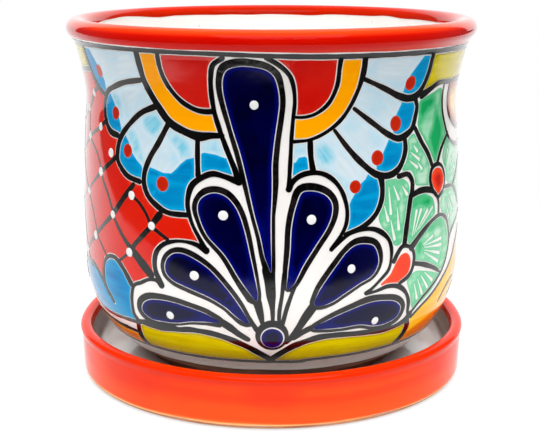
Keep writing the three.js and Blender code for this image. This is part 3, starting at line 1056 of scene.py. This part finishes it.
petal_ends = [
    [(-94, 1.6), (-88, 1.6), (-85.5, 5), (-82.4, 9.6), (-80, 14.5), (-80.4, 19.4), (-86.5, 18.4),
        (-91, 13.5), (-93.8, 7)],
    [(-77.6, 18.6), (-75.2, 22.4), (-73, 26.5), (-70.8, 30.5), (-69.4, 33.6), (-71.8, 36.2), (-77.6, 35),
        (-81, 32.2), (-83.1, 28), (-82.5, 23.4), (-79, 18.9)],
    [(-67.4, 34.4), (-64.2, 38.2), (-62.4, 41.8), (-59.4, 44.6), (-56.6, 46.6), (-55, 49.6), (-55, 53),
        (-64.5, 51.8), (-68.8, 49.2), (-71.5, 46), (-71.5, 41.4), (-69.6, 36.6)],
    [(-54, 45.6), (-52, 46.8), (-49.6, 47.2), (-45, 48.4), (-41.4, 48.2), (-39.2, 46.4), (-37.2, 44.2),
        (-34.6, 42.2), (-31.2, 41.2), (-29.6, 41.4), (-29.4, 48), (-31.7, 51.8), (-33.6, 55.6), (-33.9, 60),
        (-34, 64.2), (-43.3, 64), (-49.1, 61.3), (-52.8, 58.3), (-54.9, 54.2), (-54.9, 49.9)],
    [(-29.6, 40.2), (-27, 39), (-22, 39.6), (-18.4, 40.8), (-16.2, 41), (-14, 46), (-13, 50), (-18.3, 48),
        (-23.3, 47.1), (-27.5, 48.7), (-29.4, 48)],
    [(71, 1.6), (66.4, 2), (62.4, 6.6), (59.8, 10), (57.6, 13.6), (57, 17), (57.4, 19.2), (60.5, 20),
        (65.4, 19.3), (68.8, 15.9), (70.9, 10.4)],
    [(58, 19.6), (55.4, 24.2), (53, 28.2), (52, 31.6), (53.4, 34.6), (55, 35.4), (59.6, 34.5), (63.4, 32.3),
        (65.5, 28.2), (66.5, 24), (65.2, 20.6)],
    [(51, 34), (49, 37.2), (47, 40.5), (46, 43), (43.6, 45.4), (43.8, 48.7), (49.9, 49.7), (54.6, 48),
        (57.6, 44.2), (59, 40.3), (58.8, 36.2), (55, 35.6)],
    [(40.4, 47), (38.4, 50.2), (35, 52.8), (33.4, 56), (31.8, 58.4), (30.4, 62.5), (29.8, 67.6), (28, 71.6),
        (30, 71.6), (38.5, 68.5), (43.3, 64.5), (45.9, 59.6), (46.4, 54.6), (45.6, 50), (43.8, 48.9)],
    [(7.3, 42.6), (9.4, 42.2), (10.6, 40.4), (13, 40), (15.4, 41.4), (16.4, 46.6), (10.8, 47.6), (8, 50),
        (6.8, 52)],
]
for points in petal_ends:
    wash("turquoise_glaze", points)
red_spots = [
    (-83, 10.6, 2.6), (-74, 27.3, 2.6), (-64.9, 41.6, 2.7), (-45.5, 52.8, 2.9), (60.4, 13.8, 2.9),
    (53.9, 29.6, 3.0), (44.1, 42.3, 2.9), (33.8, 52.9, 2.5)]


# The half sun
# A red half disc inside an orange-yellow band hangs from the ring under the lip. The black outlines of the
# petals are drawn after its own.
mix_glaze("sun_yellow_glaze", (255, 162, 0), (255, 172, 10), (252, 154, 0), (255, 165, 0), pool=(0.1, 0.7),
          mirror=0.15)
mix_glaze("sun_red_glaze", (208, 26, 15), (212, 44, 28), (198, 12, 6), pool=(0.0, 0.6), mirror=0.55)
wash("sun_yellow_glaze", [
    (-55, 0), (-54.6, 5), (-53.3, 13.1), (-48.6, 21.5), (-43, 27.8), (-36.5, 31), (-29, 32.8), (-19.6, 32),
    (9, 34.2), (15, 33.7), (21, 31.5), (27.6, 26.6), (31.8, 21.1), (34.7, 14.5), (36, 8), (36, 0)])
wash("sun_red_glaze", [
    (-44.8, 0), (-44.6, 5), (-43.6, 10), (-41.3, 15), (-37.5, 19), (-33, 22), (-28, 23.2), (-21, 23),
    (9, 25), (13, 25), (17.4, 23.8), (22.6, 19.6), (25.5, 12.6), (25.9, 6), (26, 0)])
line([(-55, 0), (-54.6, 6), (-53.3, 13.1), (-48.6, 21.3), (-43, 27.8), (-36.5, 31), (-29, 32.9),
      (-24, 32.3), (-19.6, 32.2)],
     (2.8, 2.9, 2.8, 2.9, 3.4, 3.0, 3.4, 2.6, 2.0))
line([(-44.8, 0), (-44.7, 6), (-43.2, 11.5), (-40.3, 16), (-36, 20), (-30, 22.7), (-25.6, 23.1),
      (-23.4, 22.9)],
     (1.9, 1.9, 1.9, 2.0, 2.0, 2.0, 2.0, 2.2))
line([(26, 1.6), (25.8, 6), (25.5, 12.7), (22.6, 19.6), (17.5, 23.6), (13, 24.8), (9, 24.8)],
     (2.0, 1.9, 1.8, 1.6, 1.4, 1.2, 1.2))
line([(36, 1.8), (36, 8), (34.7, 14.5), (31.8, 21.2), (27.6, 26.7), (21, 31.3), (15, 33.6), (8.5, 34.2)],
     (2.4, 2.4, 1.9, 1.7, 1.6, 1.4, 1.3, 1.5))
line([(-55.6, 12.2), (-65, 13.8), (-73, 16.3), (-79, 18.9), (-82.6, 23.4), (-83.2, 28), (-81.1, 32.3),
      (-77.6, 35.2), (-71.8, 36.2)],
     (2.2, 2.2, 2.2, 2.2, 2.2, 2.3, 2.4, 2.6, 2.6))
line([(-49.4, 22.4), (-57.5, 25.7), (-65, 31.4), (-69.7, 36.6), (-71.6, 41.4), (-71.6, 46), (-68.8, 49.3),
      (-64.5, 51.9), (-57.5, 53.2)],
     (2.4, 2.4, 2.4, 2.6, 2.6, 2.6, 2.6, 2.4, 2.2))
line([(-43, 28.5), (-47.5, 36.2), (-52.6, 44), (-54.9, 49.9), (-54.9, 54.2), (-52.8, 58.4), (-49.1, 61.4),
      (-43.3, 64), (-34.3, 64.2)],
     (2.6, 2.4, 2.4, 2.6, 2.4, 2.4, 2.4, 2.2, 2.2))
line([(-29.8, 33.5), (-29.7, 41), (-29.4, 48)], (2.2, 2.2, 2.4))
line([(-94.7, 1), (-93.8, 7), (-91, 13.5), (-86.5, 18.4), (-81.5, 20.6)], (2.4, 2.4, 2.4, 2.4, 2.2))
line([(36.3, 10.4), (46.4, 14.8), (55.1, 18.7), (60.5, 20), (65.4, 19.3), (68.8, 15.9), (70.9, 10.4),
      (71.2, 2.4)],
     (1.8, 2.2, 2.6, 3.1, 3.4, 2.6, 2.4, 2.4))
line([(33.6, 22.3), (42.2, 28.4), (49.6, 33.4), (55, 35.6), (59.6, 34.6), (63.4, 32.3), (65.5, 28.2),
      (66.5, 24), (65.2, 21)],
     (1.6, 2.2, 2.5, 2.7, 2.6, 2.4, 2.4, 2.4, 2.4))
line([(25.3, 30.4), (31.3, 38.1), (37.5, 44.4), (43.8, 48.9), (49.9, 49.8), (54.6, 48), (57.6, 44.2),
      (59, 40.3), (58.8, 36.6)],
     (1.6, 2.2, 2.4, 2.8, 3.0, 2.6, 2.4, 2.4, 2.4))
line([(15.2, 34.2), (15.4, 40), (16.2, 45.4)], (2.2, 2.2, 2.6))
line([(45.7, 49.9), (46.4, 54.6), (45.9, 59.6), (43.3, 64.6), (38.5, 68.5), (29.8, 71.7)],
     (3.0, 2.4, 2.2, 2.2, 2.2, 2.0))


# The feather fan
# The middle of the front stays bare white. Seven cobalt feathers, each inside its own thick black outline,
# spread from a hub near the base, and a thin scalloped line runs round them all.
mix_glaze("cobalt_glaze", (0, 0, 52), (0, 7, 104), (0, 0, 30), pool=(0.0, 2.3), mirror=0.33)
fan_edge = {  # the thin line round the fan: its points and their widths
    "left_post": (
        [(-18.2, 1.6), (-22, 4.4), (-23.4, 10), (-23.5, 17), (-22.5, 24.2), (-20.5, 30.3), (-16.5, 40.1),
         (-14, 46), (-13, 50)],
        (2.0, 2.1, 2.1, 2.0, 1.9, 2.1, 2.2, 2.2, 2.6)),
    "right_post": (
        [(-2, 1.4), (1.6, 3.4), (4.5, 5.7), (7, 8.8), (8.4, 13.1), (9, 19), (8.4, 26), (7.8, 33), (7.4, 40),
         (7, 47), (6.8, 52.6)],
        (1.8, 1.8, 1.8, 1.8, 1.7, 1.6, 1.6, 1.6, 1.7, 1.8, 2.2)),
    "left_arch": (
        [(-12.6, 50), (-18.3, 48), (-23.3, 47.1), (-27.5, 48.7), (-31.7, 51.8), (-33.4, 55.6), (-33.9, 60),
         (-33, 64.4), (-31.3, 68.8), (-28.6, 73.4), (-26, 78)],
        (2.6, 2.3, 2.4, 2.4, 2.5, 2.4, 2.2, 1.8, 1.6, 1.6, 2.6)),
    "right_arch": (
        [(6.7, 52.6), (8, 50), (10.8, 47.6), (15, 46.4), (20, 46.9), (24.2, 49.3), (27.5, 53.3),
         (29.4, 57.8), (30.3, 62.5), (29.8, 67.6), (27.7, 71.8), (23.7, 77.2)],
        (2.4, 2.2, 2.1, 2.1, 2.1, 2.0, 1.8, 1.7, 1.7, 1.7, 1.7, 1.8)),
    "left_shoulder": (
        [(-26, 77.8), (-30, 75.8), (-35, 75), (-40, 75.4), (-45.1, 77.3), (-48.6, 80.8), (-49.7, 85),
         (-49.2, 89), (-47.2, 92.9), (-46.4, 94.4)],
        (3.2, 2.0, 1.3, 1.4, 2.0, 2.3, 2.4, 2.4, 2.5, 2.8)),
    "right_shoulder": (
        [(23.8, 77), (27.1, 74.2), (31.3, 71.6), (36.6, 70.4), (41.9, 70.6), (46.2, 72.6), (49.7, 75.9),
         (51.2, 80), (51.1, 84.1), (50, 88.3), (45.8, 92.1), (41.5, 95.3), (38.9, 96.7)],
        (1.8, 1.7, 1.5, 1.5, 2.1, 2.1, 1.7, 1.8, 1.4, 1.6, 1.3, 1.2, 1.5)),
    "left_wing": (
        [(-46.5, 94.4), (-49, 92.8), (-53, 93.1), (-57.4, 95.2), (-61.4, 97), (-63.2, 101.2), (-64, 106),
         (-64.2, 110.5), (-62, 114)],
        (2.6, 1.6, 1.5, 1.5, 1.6, 1.7, 1.8, 2.0, 2.3)),
    "right_wing": (
        [(39.1, 96.8), (43.1, 96.6), (50.1, 95.4), (56.2, 96.8), (60.2, 100.3), (62.3, 104.7), (63, 109.3),
         (65, 112)],
        (1.6, 1.2, 1.8, 2.2, 1.6, 2.0, 1.6, 2.2)),
}
left_post, right_post, left_arch, right_arch, left_shoulder, right_shoulder, left_wing, right_wing = (
    points for points, widths in fan_edge.values())
fan_ground = [
    (-19, 1), *left_post[1:], *left_arch[1:], *left_shoulder[1:8], (-47, 93.5), (-50, 92.7), (-54, 93),
    *left_wing[3:8], (-62, 113.8), (-50, 113.6), (-35, 112.4), (-25, 113), (-14.5, 116.5), (-4.4, 123),
    (0, 126.5), (4.3, 122), (14.4, 116.1), (25, 114.1), (36, 114.6), (48, 115.6), (58, 114.8),
    (64.8, 110.8), (63, 108.6), *right_wing[5:0:-1], (39, 96.7), *right_shoulder[11:0:-1], (23.8, 77.2),
    *right_arch[10:5:-1], (24.2, 49.2), (20, 46.9), (15, 46.5), (10.8, 47.5), (7.9, 50), (6.8, 52),
    *right_post[9:0:-1], (-2, 1)]
wash(bare, fan_ground)
hub = (0.2, 112.9)
white_at_hub = 0.1  # the bare white round a feather's blue, at its narrow end
more_white_outside = 0.28  # and what is added to it further out
feathers = [  # the blue shape, and the width of the black outside each of its points
    ([(-18.8, 14.5), (-18.4, 9.6), (-16.8, 6.6), (-12.5, 5), (-6.5, 5.2), (-2, 6.4), (0.7, 8.8),
      (2.3, 13.5), (2.9, 19), (2.2, 26), (1, 34), (0.1, 43), (0.1, 50), (0, 56), (-0.3, 63), (-0.3, 73),
      (-0.1, 80), (-0.3, 85.6), (-1.4, 82.6), (-2.6, 79.6), (-4.2, 71.5), (-6.6, 62.5), (-9.6, 49),
      (-12, 39.5), (-15.5, 29), (-17.7, 21)],
     (2.3, 2.5, 3.2, 3.0, 2.8, 2.6, 2.6, 2.2, 2.2, 2.2, 2.2, 2.3, 2.3, 1.9, 1.4, 1.4, 1.5, 1.6, 2.3, 1.8,
      1.5, 1.4, 1.9, 2.0, 1.8, 2.1)),
    ([(-29.5, 61), (-28.6, 57.9), (-26, 55.7), (-22.3, 54.7), (-18.3, 55.7), (-15.1, 58.6), (-12.6, 63),
      (-10.3, 70.4), (-8.3, 79.6), (-6.3, 89.4), (-5.4, 95.2), (-5.9, 97.4), (-7.2, 96), (-12.3, 88.8),
      (-18.3, 79.2), (-25.6, 71.4), (-28.5, 65.4)],
     (2.1, 2.1, 2.6, 2.5, 2.5, 2.3, 2.1, 1.9, 1.6, 1.2, 1.3, 1.5, 2.7, 2.0, 1.8, 1.6, 1.7)),
    ([(12, 54.1), (15, 53.6), (18.5, 54.2), (21.8, 56), (23.8, 59), (23.8, 63), (21.9, 68.1), (17.4, 75),
      (12.2, 83.3), (8.4, 91), (6.2, 92.6), (6.4, 87), (7.4, 77), (8, 67), (9.8, 59)],
     (3.0, 3.0, 2.8, 2.6, 2.4, 2.3, 2.1, 2.0, 2.0, 1.5, 0.9, 1.8, 2.2, 2.2, 2.4)),
    ([(-44.5, 86), (-43.2, 82.8), (-40.2, 80.5), (-36.5, 80.1), (-31.5, 81.6), (-25.1, 85.3), (-18.5, 92.1),
      (-12.7, 99.8), (-9, 107.2), (-11.5, 106.2), (-14.6, 103.8), (-18, 100.7), (-24.4, 97), (-33.2, 94),
      (-41.2, 91.3), (-44, 88.8)],
     (1.8, 1.9, 2.0, 2.2, 2.3, 2.0, 1.9, 1.7, 1.4, 2.0, 1.4, 1.2, 1.4, 1.6, 1.5, 1.6)),
    ([(34, 76.5), (38, 76.3), (42.2, 77.6), (44.2, 81.1), (44.6, 85.2), (41.9, 89.5), (36, 92.2),
      (29.2, 95.8), (24.2, 98.6), (19.4, 100), (17, 99.2), (18.6, 94.6), (21.4, 90.2), (26, 84), (30.2, 79)],
     (2.5, 2.8, 2.5, 2.2, 1.5, 1.2, 1.1, 1.2, 1.2, 1.5, 1.8, 2.0, 2.2, 2.2, 2.1)),
    ([(-58, 107.6), (-57.1, 104.5), (-53.5, 102), (-48, 101), (-41.4, 101), (-33.5, 102.3), (-26.4, 104.3),
      (-21.2, 107.4), (-27.5, 107.7), (-34, 108.4), (-40, 109.9), (-48, 110.6), (-54, 110.4)],
     (2.5, 2.9, 2.8, 2.5, 2.2, 2.0, 2.1, 2.2, 1.2, 1.0, 0.9, 1.8, 2.2)),
    ([(17, 109.8), (23.8, 106.2), (33, 102.9), (41, 101.1), (48, 101.3), (54.5, 103), (57.8, 106.2),
      (56.6, 110), (51.5, 112), (45, 112.2), (38, 110.4), (28, 110.6)],
     (1.5, 2.0, 2.3, 2.7, 2.4, 2.6, 2.3, 2.2, 2.2, 1.6, 1.4, 1.3)),
]
for points, widths in feathers:
    shape, passed = smooth_line(points, closed=True)
    width = np.interp(passed, np.arange(len(points) + 1), widths + widths[:1])
    from_hub = np.hypot(shape[:, 0] - hub[0], shape[:, 1] - hub[1])
    outwards = smoothed((from_hub - from_hub.min()) / np.ptp(from_hub), 0.02, 0.2)
    white = white_at_hub + more_white_outside * outwards
    wash("black_line", swell(shape, white + width), layer=lines)
    wash(bare, swell(shape, white), layer=over_lines)
    wash("cobalt_glaze", shape, layer=over_lines)
wash("black_line", oval(*hub, 6.9, 7.4), layer=lines)
wash(bare, oval(0.4, 113.9, 5.0, 5.3), layer=over_lines)
wash("cobalt_glaze", oval(0.3, 114.2, 4.5, 4.8), layer=over_lines)
for points, widths in fan_edge.values():
    line(points, widths)
line([(-61.8, 113.6), (-56, 113.4), (-50, 113.6), (-45, 113), (-40, 113.2), (-35, 112.4), (-30, 112.5),
      (-25, 113), (-19.8, 114.3), (-14.5, 116.5), (-9.4, 119.3), (-4.4, 123), (-0.1, 126.5)],
     (2.2, 3.4, 4.0, 3.8, 2.6, 2.6, 2.4, 2.5, 2.8, 3.0, 2.9, 3.1, 3.1))
line([(-0.4, 126.5), (4.3, 122), (9.2, 118.4), (14.4, 116.1), (19.6, 114.5), (24.9, 114.1), (30, 114.2),
      (36, 114.6), (42, 115), (48, 115.6), (54, 115.4), (58, 114.8), (62.3, 113.3), (64.8, 110.7)],
     (3.0, 3.2, 3.1, 2.7, 2.9, 2.8, 2.6, 2.6, 2.4, 2.4, 2.4, 2.3, 3.0, 3.2))
stems = [
    ([(-1.2, 84.4), (-0.6, 89.8), (-0.1, 95.9), (0.4, 101.1), (0.5, 107)], (4.8, 4.3, 3.4, 2.1, 1.2)),
    ([(-6.6, 95.6), (-5.6, 98), (-4.7, 101.5), (-3.6, 107)], (3.2, 4.0, 3.0, 1.8)),
    ([(4.9, 86), (4.1, 95), (3.2, 101), (2.9, 107)], (1.5, 1.6, 1.6, 1.6)),
    ([(10.4, 88), (7.7, 95.2), (6, 100.4), (4.4, 107)], (1.7, 1.6, 1.6, 2.0)),
    ([(-10.4, 102.6), (-8, 106.4), (-6, 110)], (2.0, 2.0, 2.2)),
    ([(17.6, 98.6), (13.8, 104.2), (11, 109.2), (8.6, 113.2), (6.2, 116.4)], (4.2, 3.4, 3.0, 2.6, 1.8)),
    ([(-22.6, 105.6), (-16.8, 109.5), (-13.2, 112.5), (-9.8, 114.8)], (2.8, 3.6, 2.8, 2.2)),
    ([(19, 108.4), (14, 110.6), (9, 114)], (2.4, 2.6, 2.4)),
]
for points, widths in stems:
    line(points, widths, 0)
drops += [(-6.8, 20), (-19, 63.3), (15.6, 64.8), (-31.2, 88.5), (32.3, 85.8), (-43.2, 107), (44.8, 109.8)]


# The buds and the medallion
# The petals get their red spots, and a round bud and a drop-shaped one go in among the leaves. Where front
# and back meet, a half disc hangs from the yellow band, red at its edge and running into yellow.
mix_glaze("bud_glaze", (242, 68, 26), (248, 90, 50), (236, 54, 18), pool=(0.0, 0.7), mirror=0.3)
mix_glaze("round_bud_glaze", (206, 16, 0), (250, 66, 20), (200, 14, 0), pool=(0.6, 3.4), mirror=0.2)
mix_glaze("medallion_glaze", (255, 222, 140), (190, 104, 84), (252, 206, 110), pool=(0.4, 6.0), mirror=0.3)
for u, v, radius in red_spots:
    wash("spot_glaze", oval(u, v, radius, radius * 1.06))
wash("round_bud_glaze", [
    (81.2, 50.8), (85.4, 52.4), (87.4, 56.6), (85.4, 60), (82.4, 61.9), (79, 59.4), (76.4, 55.4),
    (77.8, 51.7)], smooth=True)
line([(81.4, 63.2), (78, 60.6), (75.2, 55.4), (76.4, 50.8), (80.4, 49.2), (85.6, 50.8), (88.6, 56.4),
      (86.8, 60.8), (82.4, 63.4)],
     (1.7, 1.8, 2.0, 2.0, 1.8, 1.4, 1.2, 1.2, 1.6), 0.4)
wash("bud_glaze", [
    (46.1, 94.2), (50.8, 90.7), (53.7, 86.4), (56.8, 83.3), (60.1, 83.2), (62.1, 86), (61.6, 90.2),
    (58.7, 93.3), (54, 94.8), (49.4, 95)], smooth=True)
line([(52.6, 85.4), (54.6, 82.4), (57.3, 79.9), (60.6, 80.4), (63.3, 82.4), (64.3, 84.8), (64.1, 88),
      (63.2, 90.5), (61, 93), (56, 95.2)],
     (2.2, 2.0, 1.8, 1.8, 1.7, 1.7, 1.7, 1.7, 1.7, 1.5), 0.35)
medallion_rim = [
    (87, 17), (86.8, 21.1), (87.5, 25.4), (88.8, 30.4), (90.7, 34.8), (93, 38.6), (98, 42), (106, 44.4),
    (122, 45.4)]
medallion = [(93.7, 17), (93.3, 21.8), (94.1, 26.1), (95.4, 29.8), (98.8, 33.1), (107.2, 36.8), (122, 37.6)]
wash(bare, medallion_rim + [(122, 16)])
wash("medallion_glaze", medallion + [(122, 17)])
line(medallion_rim, 1.6, 0.4)
line(medallion, 1.4, 0.4)


# Laying the drawing on the pot
# The drawing becomes one flat mesh in which each small face belongs to what was painted there last. It is
# laid on the wall, once as drawn and once turned over for the back, and each colour is parted off as its
# own thin coat.
fill_proud = 0.10  # mm; how far a coloured glaze stands out from the white
line_proud = 0.17  # the same for the black lines
coat_root = 0.06  # how far a coat reaches into the white glaze
mesh_step = 2.9  # mm between the points inside a wash
longest_side = 2.0  # mm; longer sides of an outline are cut, so that they can bend round the pot
on_fold = 0.01  # mm; a point this close to the fold is on it
seam = 0.002  # mm; points this close on both sides of the fold are one
sun_middle = -9.5  # u of the place that the petals' brush strokes run away from
sun_above = 4  # mm; how far above the first line it is
ray_width = 40  # mm of streaks for each radian round it
facing_out = 0.9  # cosine; faces turned further from the wall's direction are a coat's edges


def cut_short(outline):
    """The same outline with points added along its long sides."""
    pieces = []
    for start, end in zip(outline, np.roll(outline, -1, 0)):
        count = max(1, math.ceil(np.linalg.norm(end - start) / longest_side))
        pieces.append(start + (end - start) * (np.arange(count) / count)[:, None])
    return np.concatenate(pieces)


def inside(outline, points):
    """Which points lie inside a closed outline, counting its turns round each of them."""
    low, high = outline.min(0), outline.max(0)
    near = np.flatnonzero(((points >= low) & (points <= high)).all(1))
    u, v = points[near].T
    turns = np.zeros(len(near), int)
    for (u0, v0), (u1, v1) in zip(outline, np.roll(outline, -1, 0)):
        side = (u1 - u0) * (v - v0) - (u - u0) * (v1 - v0)
        turns += (v0 <= v) & (v1 > v) & (side > 0)
        turns -= (v0 > v) & (v1 <= v) & (side < 0)
    return near[turns != 0]


painted.sort(key=lambda shape: shape[0])
corners = []
joints = []
border = np.array([(left_fold, drawing_top), (right_fold, drawing_top), (right_fold, drawing_depth),
                   (left_fold, drawing_depth)])
for outline in [border] + [shape for _, _, shape in painted]:
    outline = cut_short(outline)
    first = len(corners)
    corners += [Vector(place) for place in outline]
    joints += [(first + i, first + (i + 1) % len(outline)) for i in range(len(outline))]
grid_u = np.linspace(left_fold, right_fold, round((right_fold - left_fold) / mesh_step) + 1)
grid_v = np.arange(0, drawing_depth, mesh_step)
corners += [Vector((u, v)) for u in grid_u for v in grid_v]
flat, _, faces, _, _, _ = delaunay_2d_cdt(corners, joints, [], 0, 1e-4)
flat = np.array(flat)
faces = np.array(faces)
centres = flat[faces].mean(1)
owner = np.full(len(faces), -1)
for number, (_, _, shape) in enumerate(painted):
    owner[inside(shape, centres)] = number
owner[(centres[:, 0] < left_fold) | (centres[:, 0] > right_fold)] = -1
names = [name for _, name, _ in painted] + [bare]
face_glaze = np.array([names[number] for number in owner])


def edge_distance(points, triangles):
    """How far each point of a coat lies from the coat's edge, in mm."""
    sides = np.concatenate([triangles[:, [0, 1]], triangles[:, [1, 2]], triangles[:, [2, 0]]])
    pairs, uses = np.unique(np.sort(sides, axis=1), axis=0, return_counts=True)
    outer_ring = np.unique(pairs[uses == 1])
    folds = np.abs(points[outer_ring, 0][:, None] - np.array((left_fold, right_fold))).min(1) < on_fold
    outer_ring = outer_ring[~folds]
    tree = KDTree(len(outer_ring))
    for i, place in enumerate(points[outer_ring]):
        tree.insert((*place, 0), i)
    tree.balance()
    return np.array([tree.find((*place, 0))[2] for place in points])


def coat(name, finish, proud):
    """One colour's faces on both halves of the pot, given a thickness that reaches into the white glaze."""
    used, triangles = np.unique(faces[face_glaze == name], return_inverse=True)
    triangles = triangles.reshape(-1, 3)
    points = flat[used]
    edge = edge_distance(points, triangles)
    u = np.concatenate([points[:, 0], 2 * right_fold - points[:, 0]])
    v = np.tile(points[:, 1], 2)
    places, out = on_wall(u, v, proud)
    both = np.concatenate([triangles[:, ::-1], triangles + len(points)])
    mesh = bpy.data.meshes.new(name)
    mesh.from_pydata(places.tolist(), [], both.tolist())
    mesh.attributes.new("edge", "FLOAT", "POINT").data.foreach_set("value", np.tile(edge, 2))
    across, down = points[:, 0] - sun_middle, points[:, 1]
    rays = np.stack([np.arctan2(across, down + sun_above) * ray_width, np.hypot(across, down), 0 * down], 1)
    from_sun = mesh.attributes.new("from_sun", "FLOAT_VECTOR", "POINT")
    from_sun.data.foreach_set("vector", np.tile(rays, (2, 1)).ravel())
    piece = bpy.data.objects.new(name, mesh)
    bpy.context.scene.collection.objects.link(piece)
    bpy.ops.object.select_all(action="DESELECT")
    bpy.context.view_layer.objects.active = piece
    piece.select_set(True)
    mend(seam)
    thicken(piece, proud + coat_root)
    follow_wall(piece.data)
    piece.data.materials.append(finish)
    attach(piece, "pot")


def follow_wall(mesh):
    """Shades the outside of a coat by the wall under it, so that what the glaze mirrors runs on unbroken."""
    x, y, z = places_of(mesh).T / mm
    climb = np.argsort(wall_down[:, 1])
    out_r, out_z = (np.interp(z, wall_down[climb, 1], wall_out[climb, i]) for i in (0, 1))
    angle = np.arctan2(x, -y)
    out = unit(np.stack([out_r * np.sin(angle), -out_r * np.cos(angle), out_z], 1))
    size = len(mesh.polygons)
    facing = np.empty(size * 3)
    mesh.polygons.foreach_get("normal", facing)
    start, total = np.empty(size, int), np.empty(size, int)
    mesh.polygons.foreach_get("loop_start", start)
    mesh.polygons.foreach_get("loop_total", total)
    corner = np.empty(len(mesh.loops), int)
    mesh.loops.foreach_get("vertex_index", corner)
    face_of = np.repeat(np.arange(size), total)
    flat_on = np.einsum("ij,ij->i", facing.reshape(-1, 3)[face_of], out[corner]) > facing_out
    mesh.normals_split_custom_set((out[corner] * flat_on[:, None]).tolist())


mix_glaze("black_line", (7, 6, 7), (26, 22, 22), (4, 4, 5), pool=(0.0, 0.4), gloss=0.09, mirror=0.62)
for name, finish in glazes.items():
    coat(name, finish, line_proud if name == "black_line" else fill_proud)


# The white drops
# Thick white glaze dropped from the nozzle last of all, one on each crossing of the net and one on each
# feather.
drop_radius = 1.9
drop_height = 0.55
drop_sides = 20
drop_rings = 12
mix_glaze("white_drops", (232, 234, 232), (228, 228, 224), (240, 240, 238), pool=(-1.0, -0.5))
far_drops = [(2 * right_fold - u, v) for u, v in drops if u > left_fold]
bpy.ops.object.select_all(action="DESELECT")
drop_pieces = []
for number, (u, v) in enumerate(drops + far_drops):
    bpy.ops.mesh.primitive_uv_sphere_add(segments=drop_sides, ring_count=drop_rings, radius=1)
    drop = bpy.context.object
    ball = places_of(drop.data)
    size = drop_radius * (1 + 0.06 * math.sin(5.3 * number))
    squash = 1 + 0.05 * math.sin(3.1 * number)
    places, out = on_wall(u + ball[:, 0] * size * squash, v + ball[:, 1] * size, 0)
    places = places + out * (ball[:, 2] * drop_height)[:, None] * mm
    drop.data.vertices.foreach_set("co", places.ravel())
    drop_pieces.append(drop)
for drop in drop_pieces:
    drop.select_set(True)
bpy.ops.object.join()
white_drops = bpy.context.object
white_drops.name = "white_drops"
mend(outwards=True)
bpy.ops.object.shade_smooth()
white_drops.data.materials.clear()
white_drops.data.materials.append(glazes["white_drops"])
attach(white_drops, "pot")
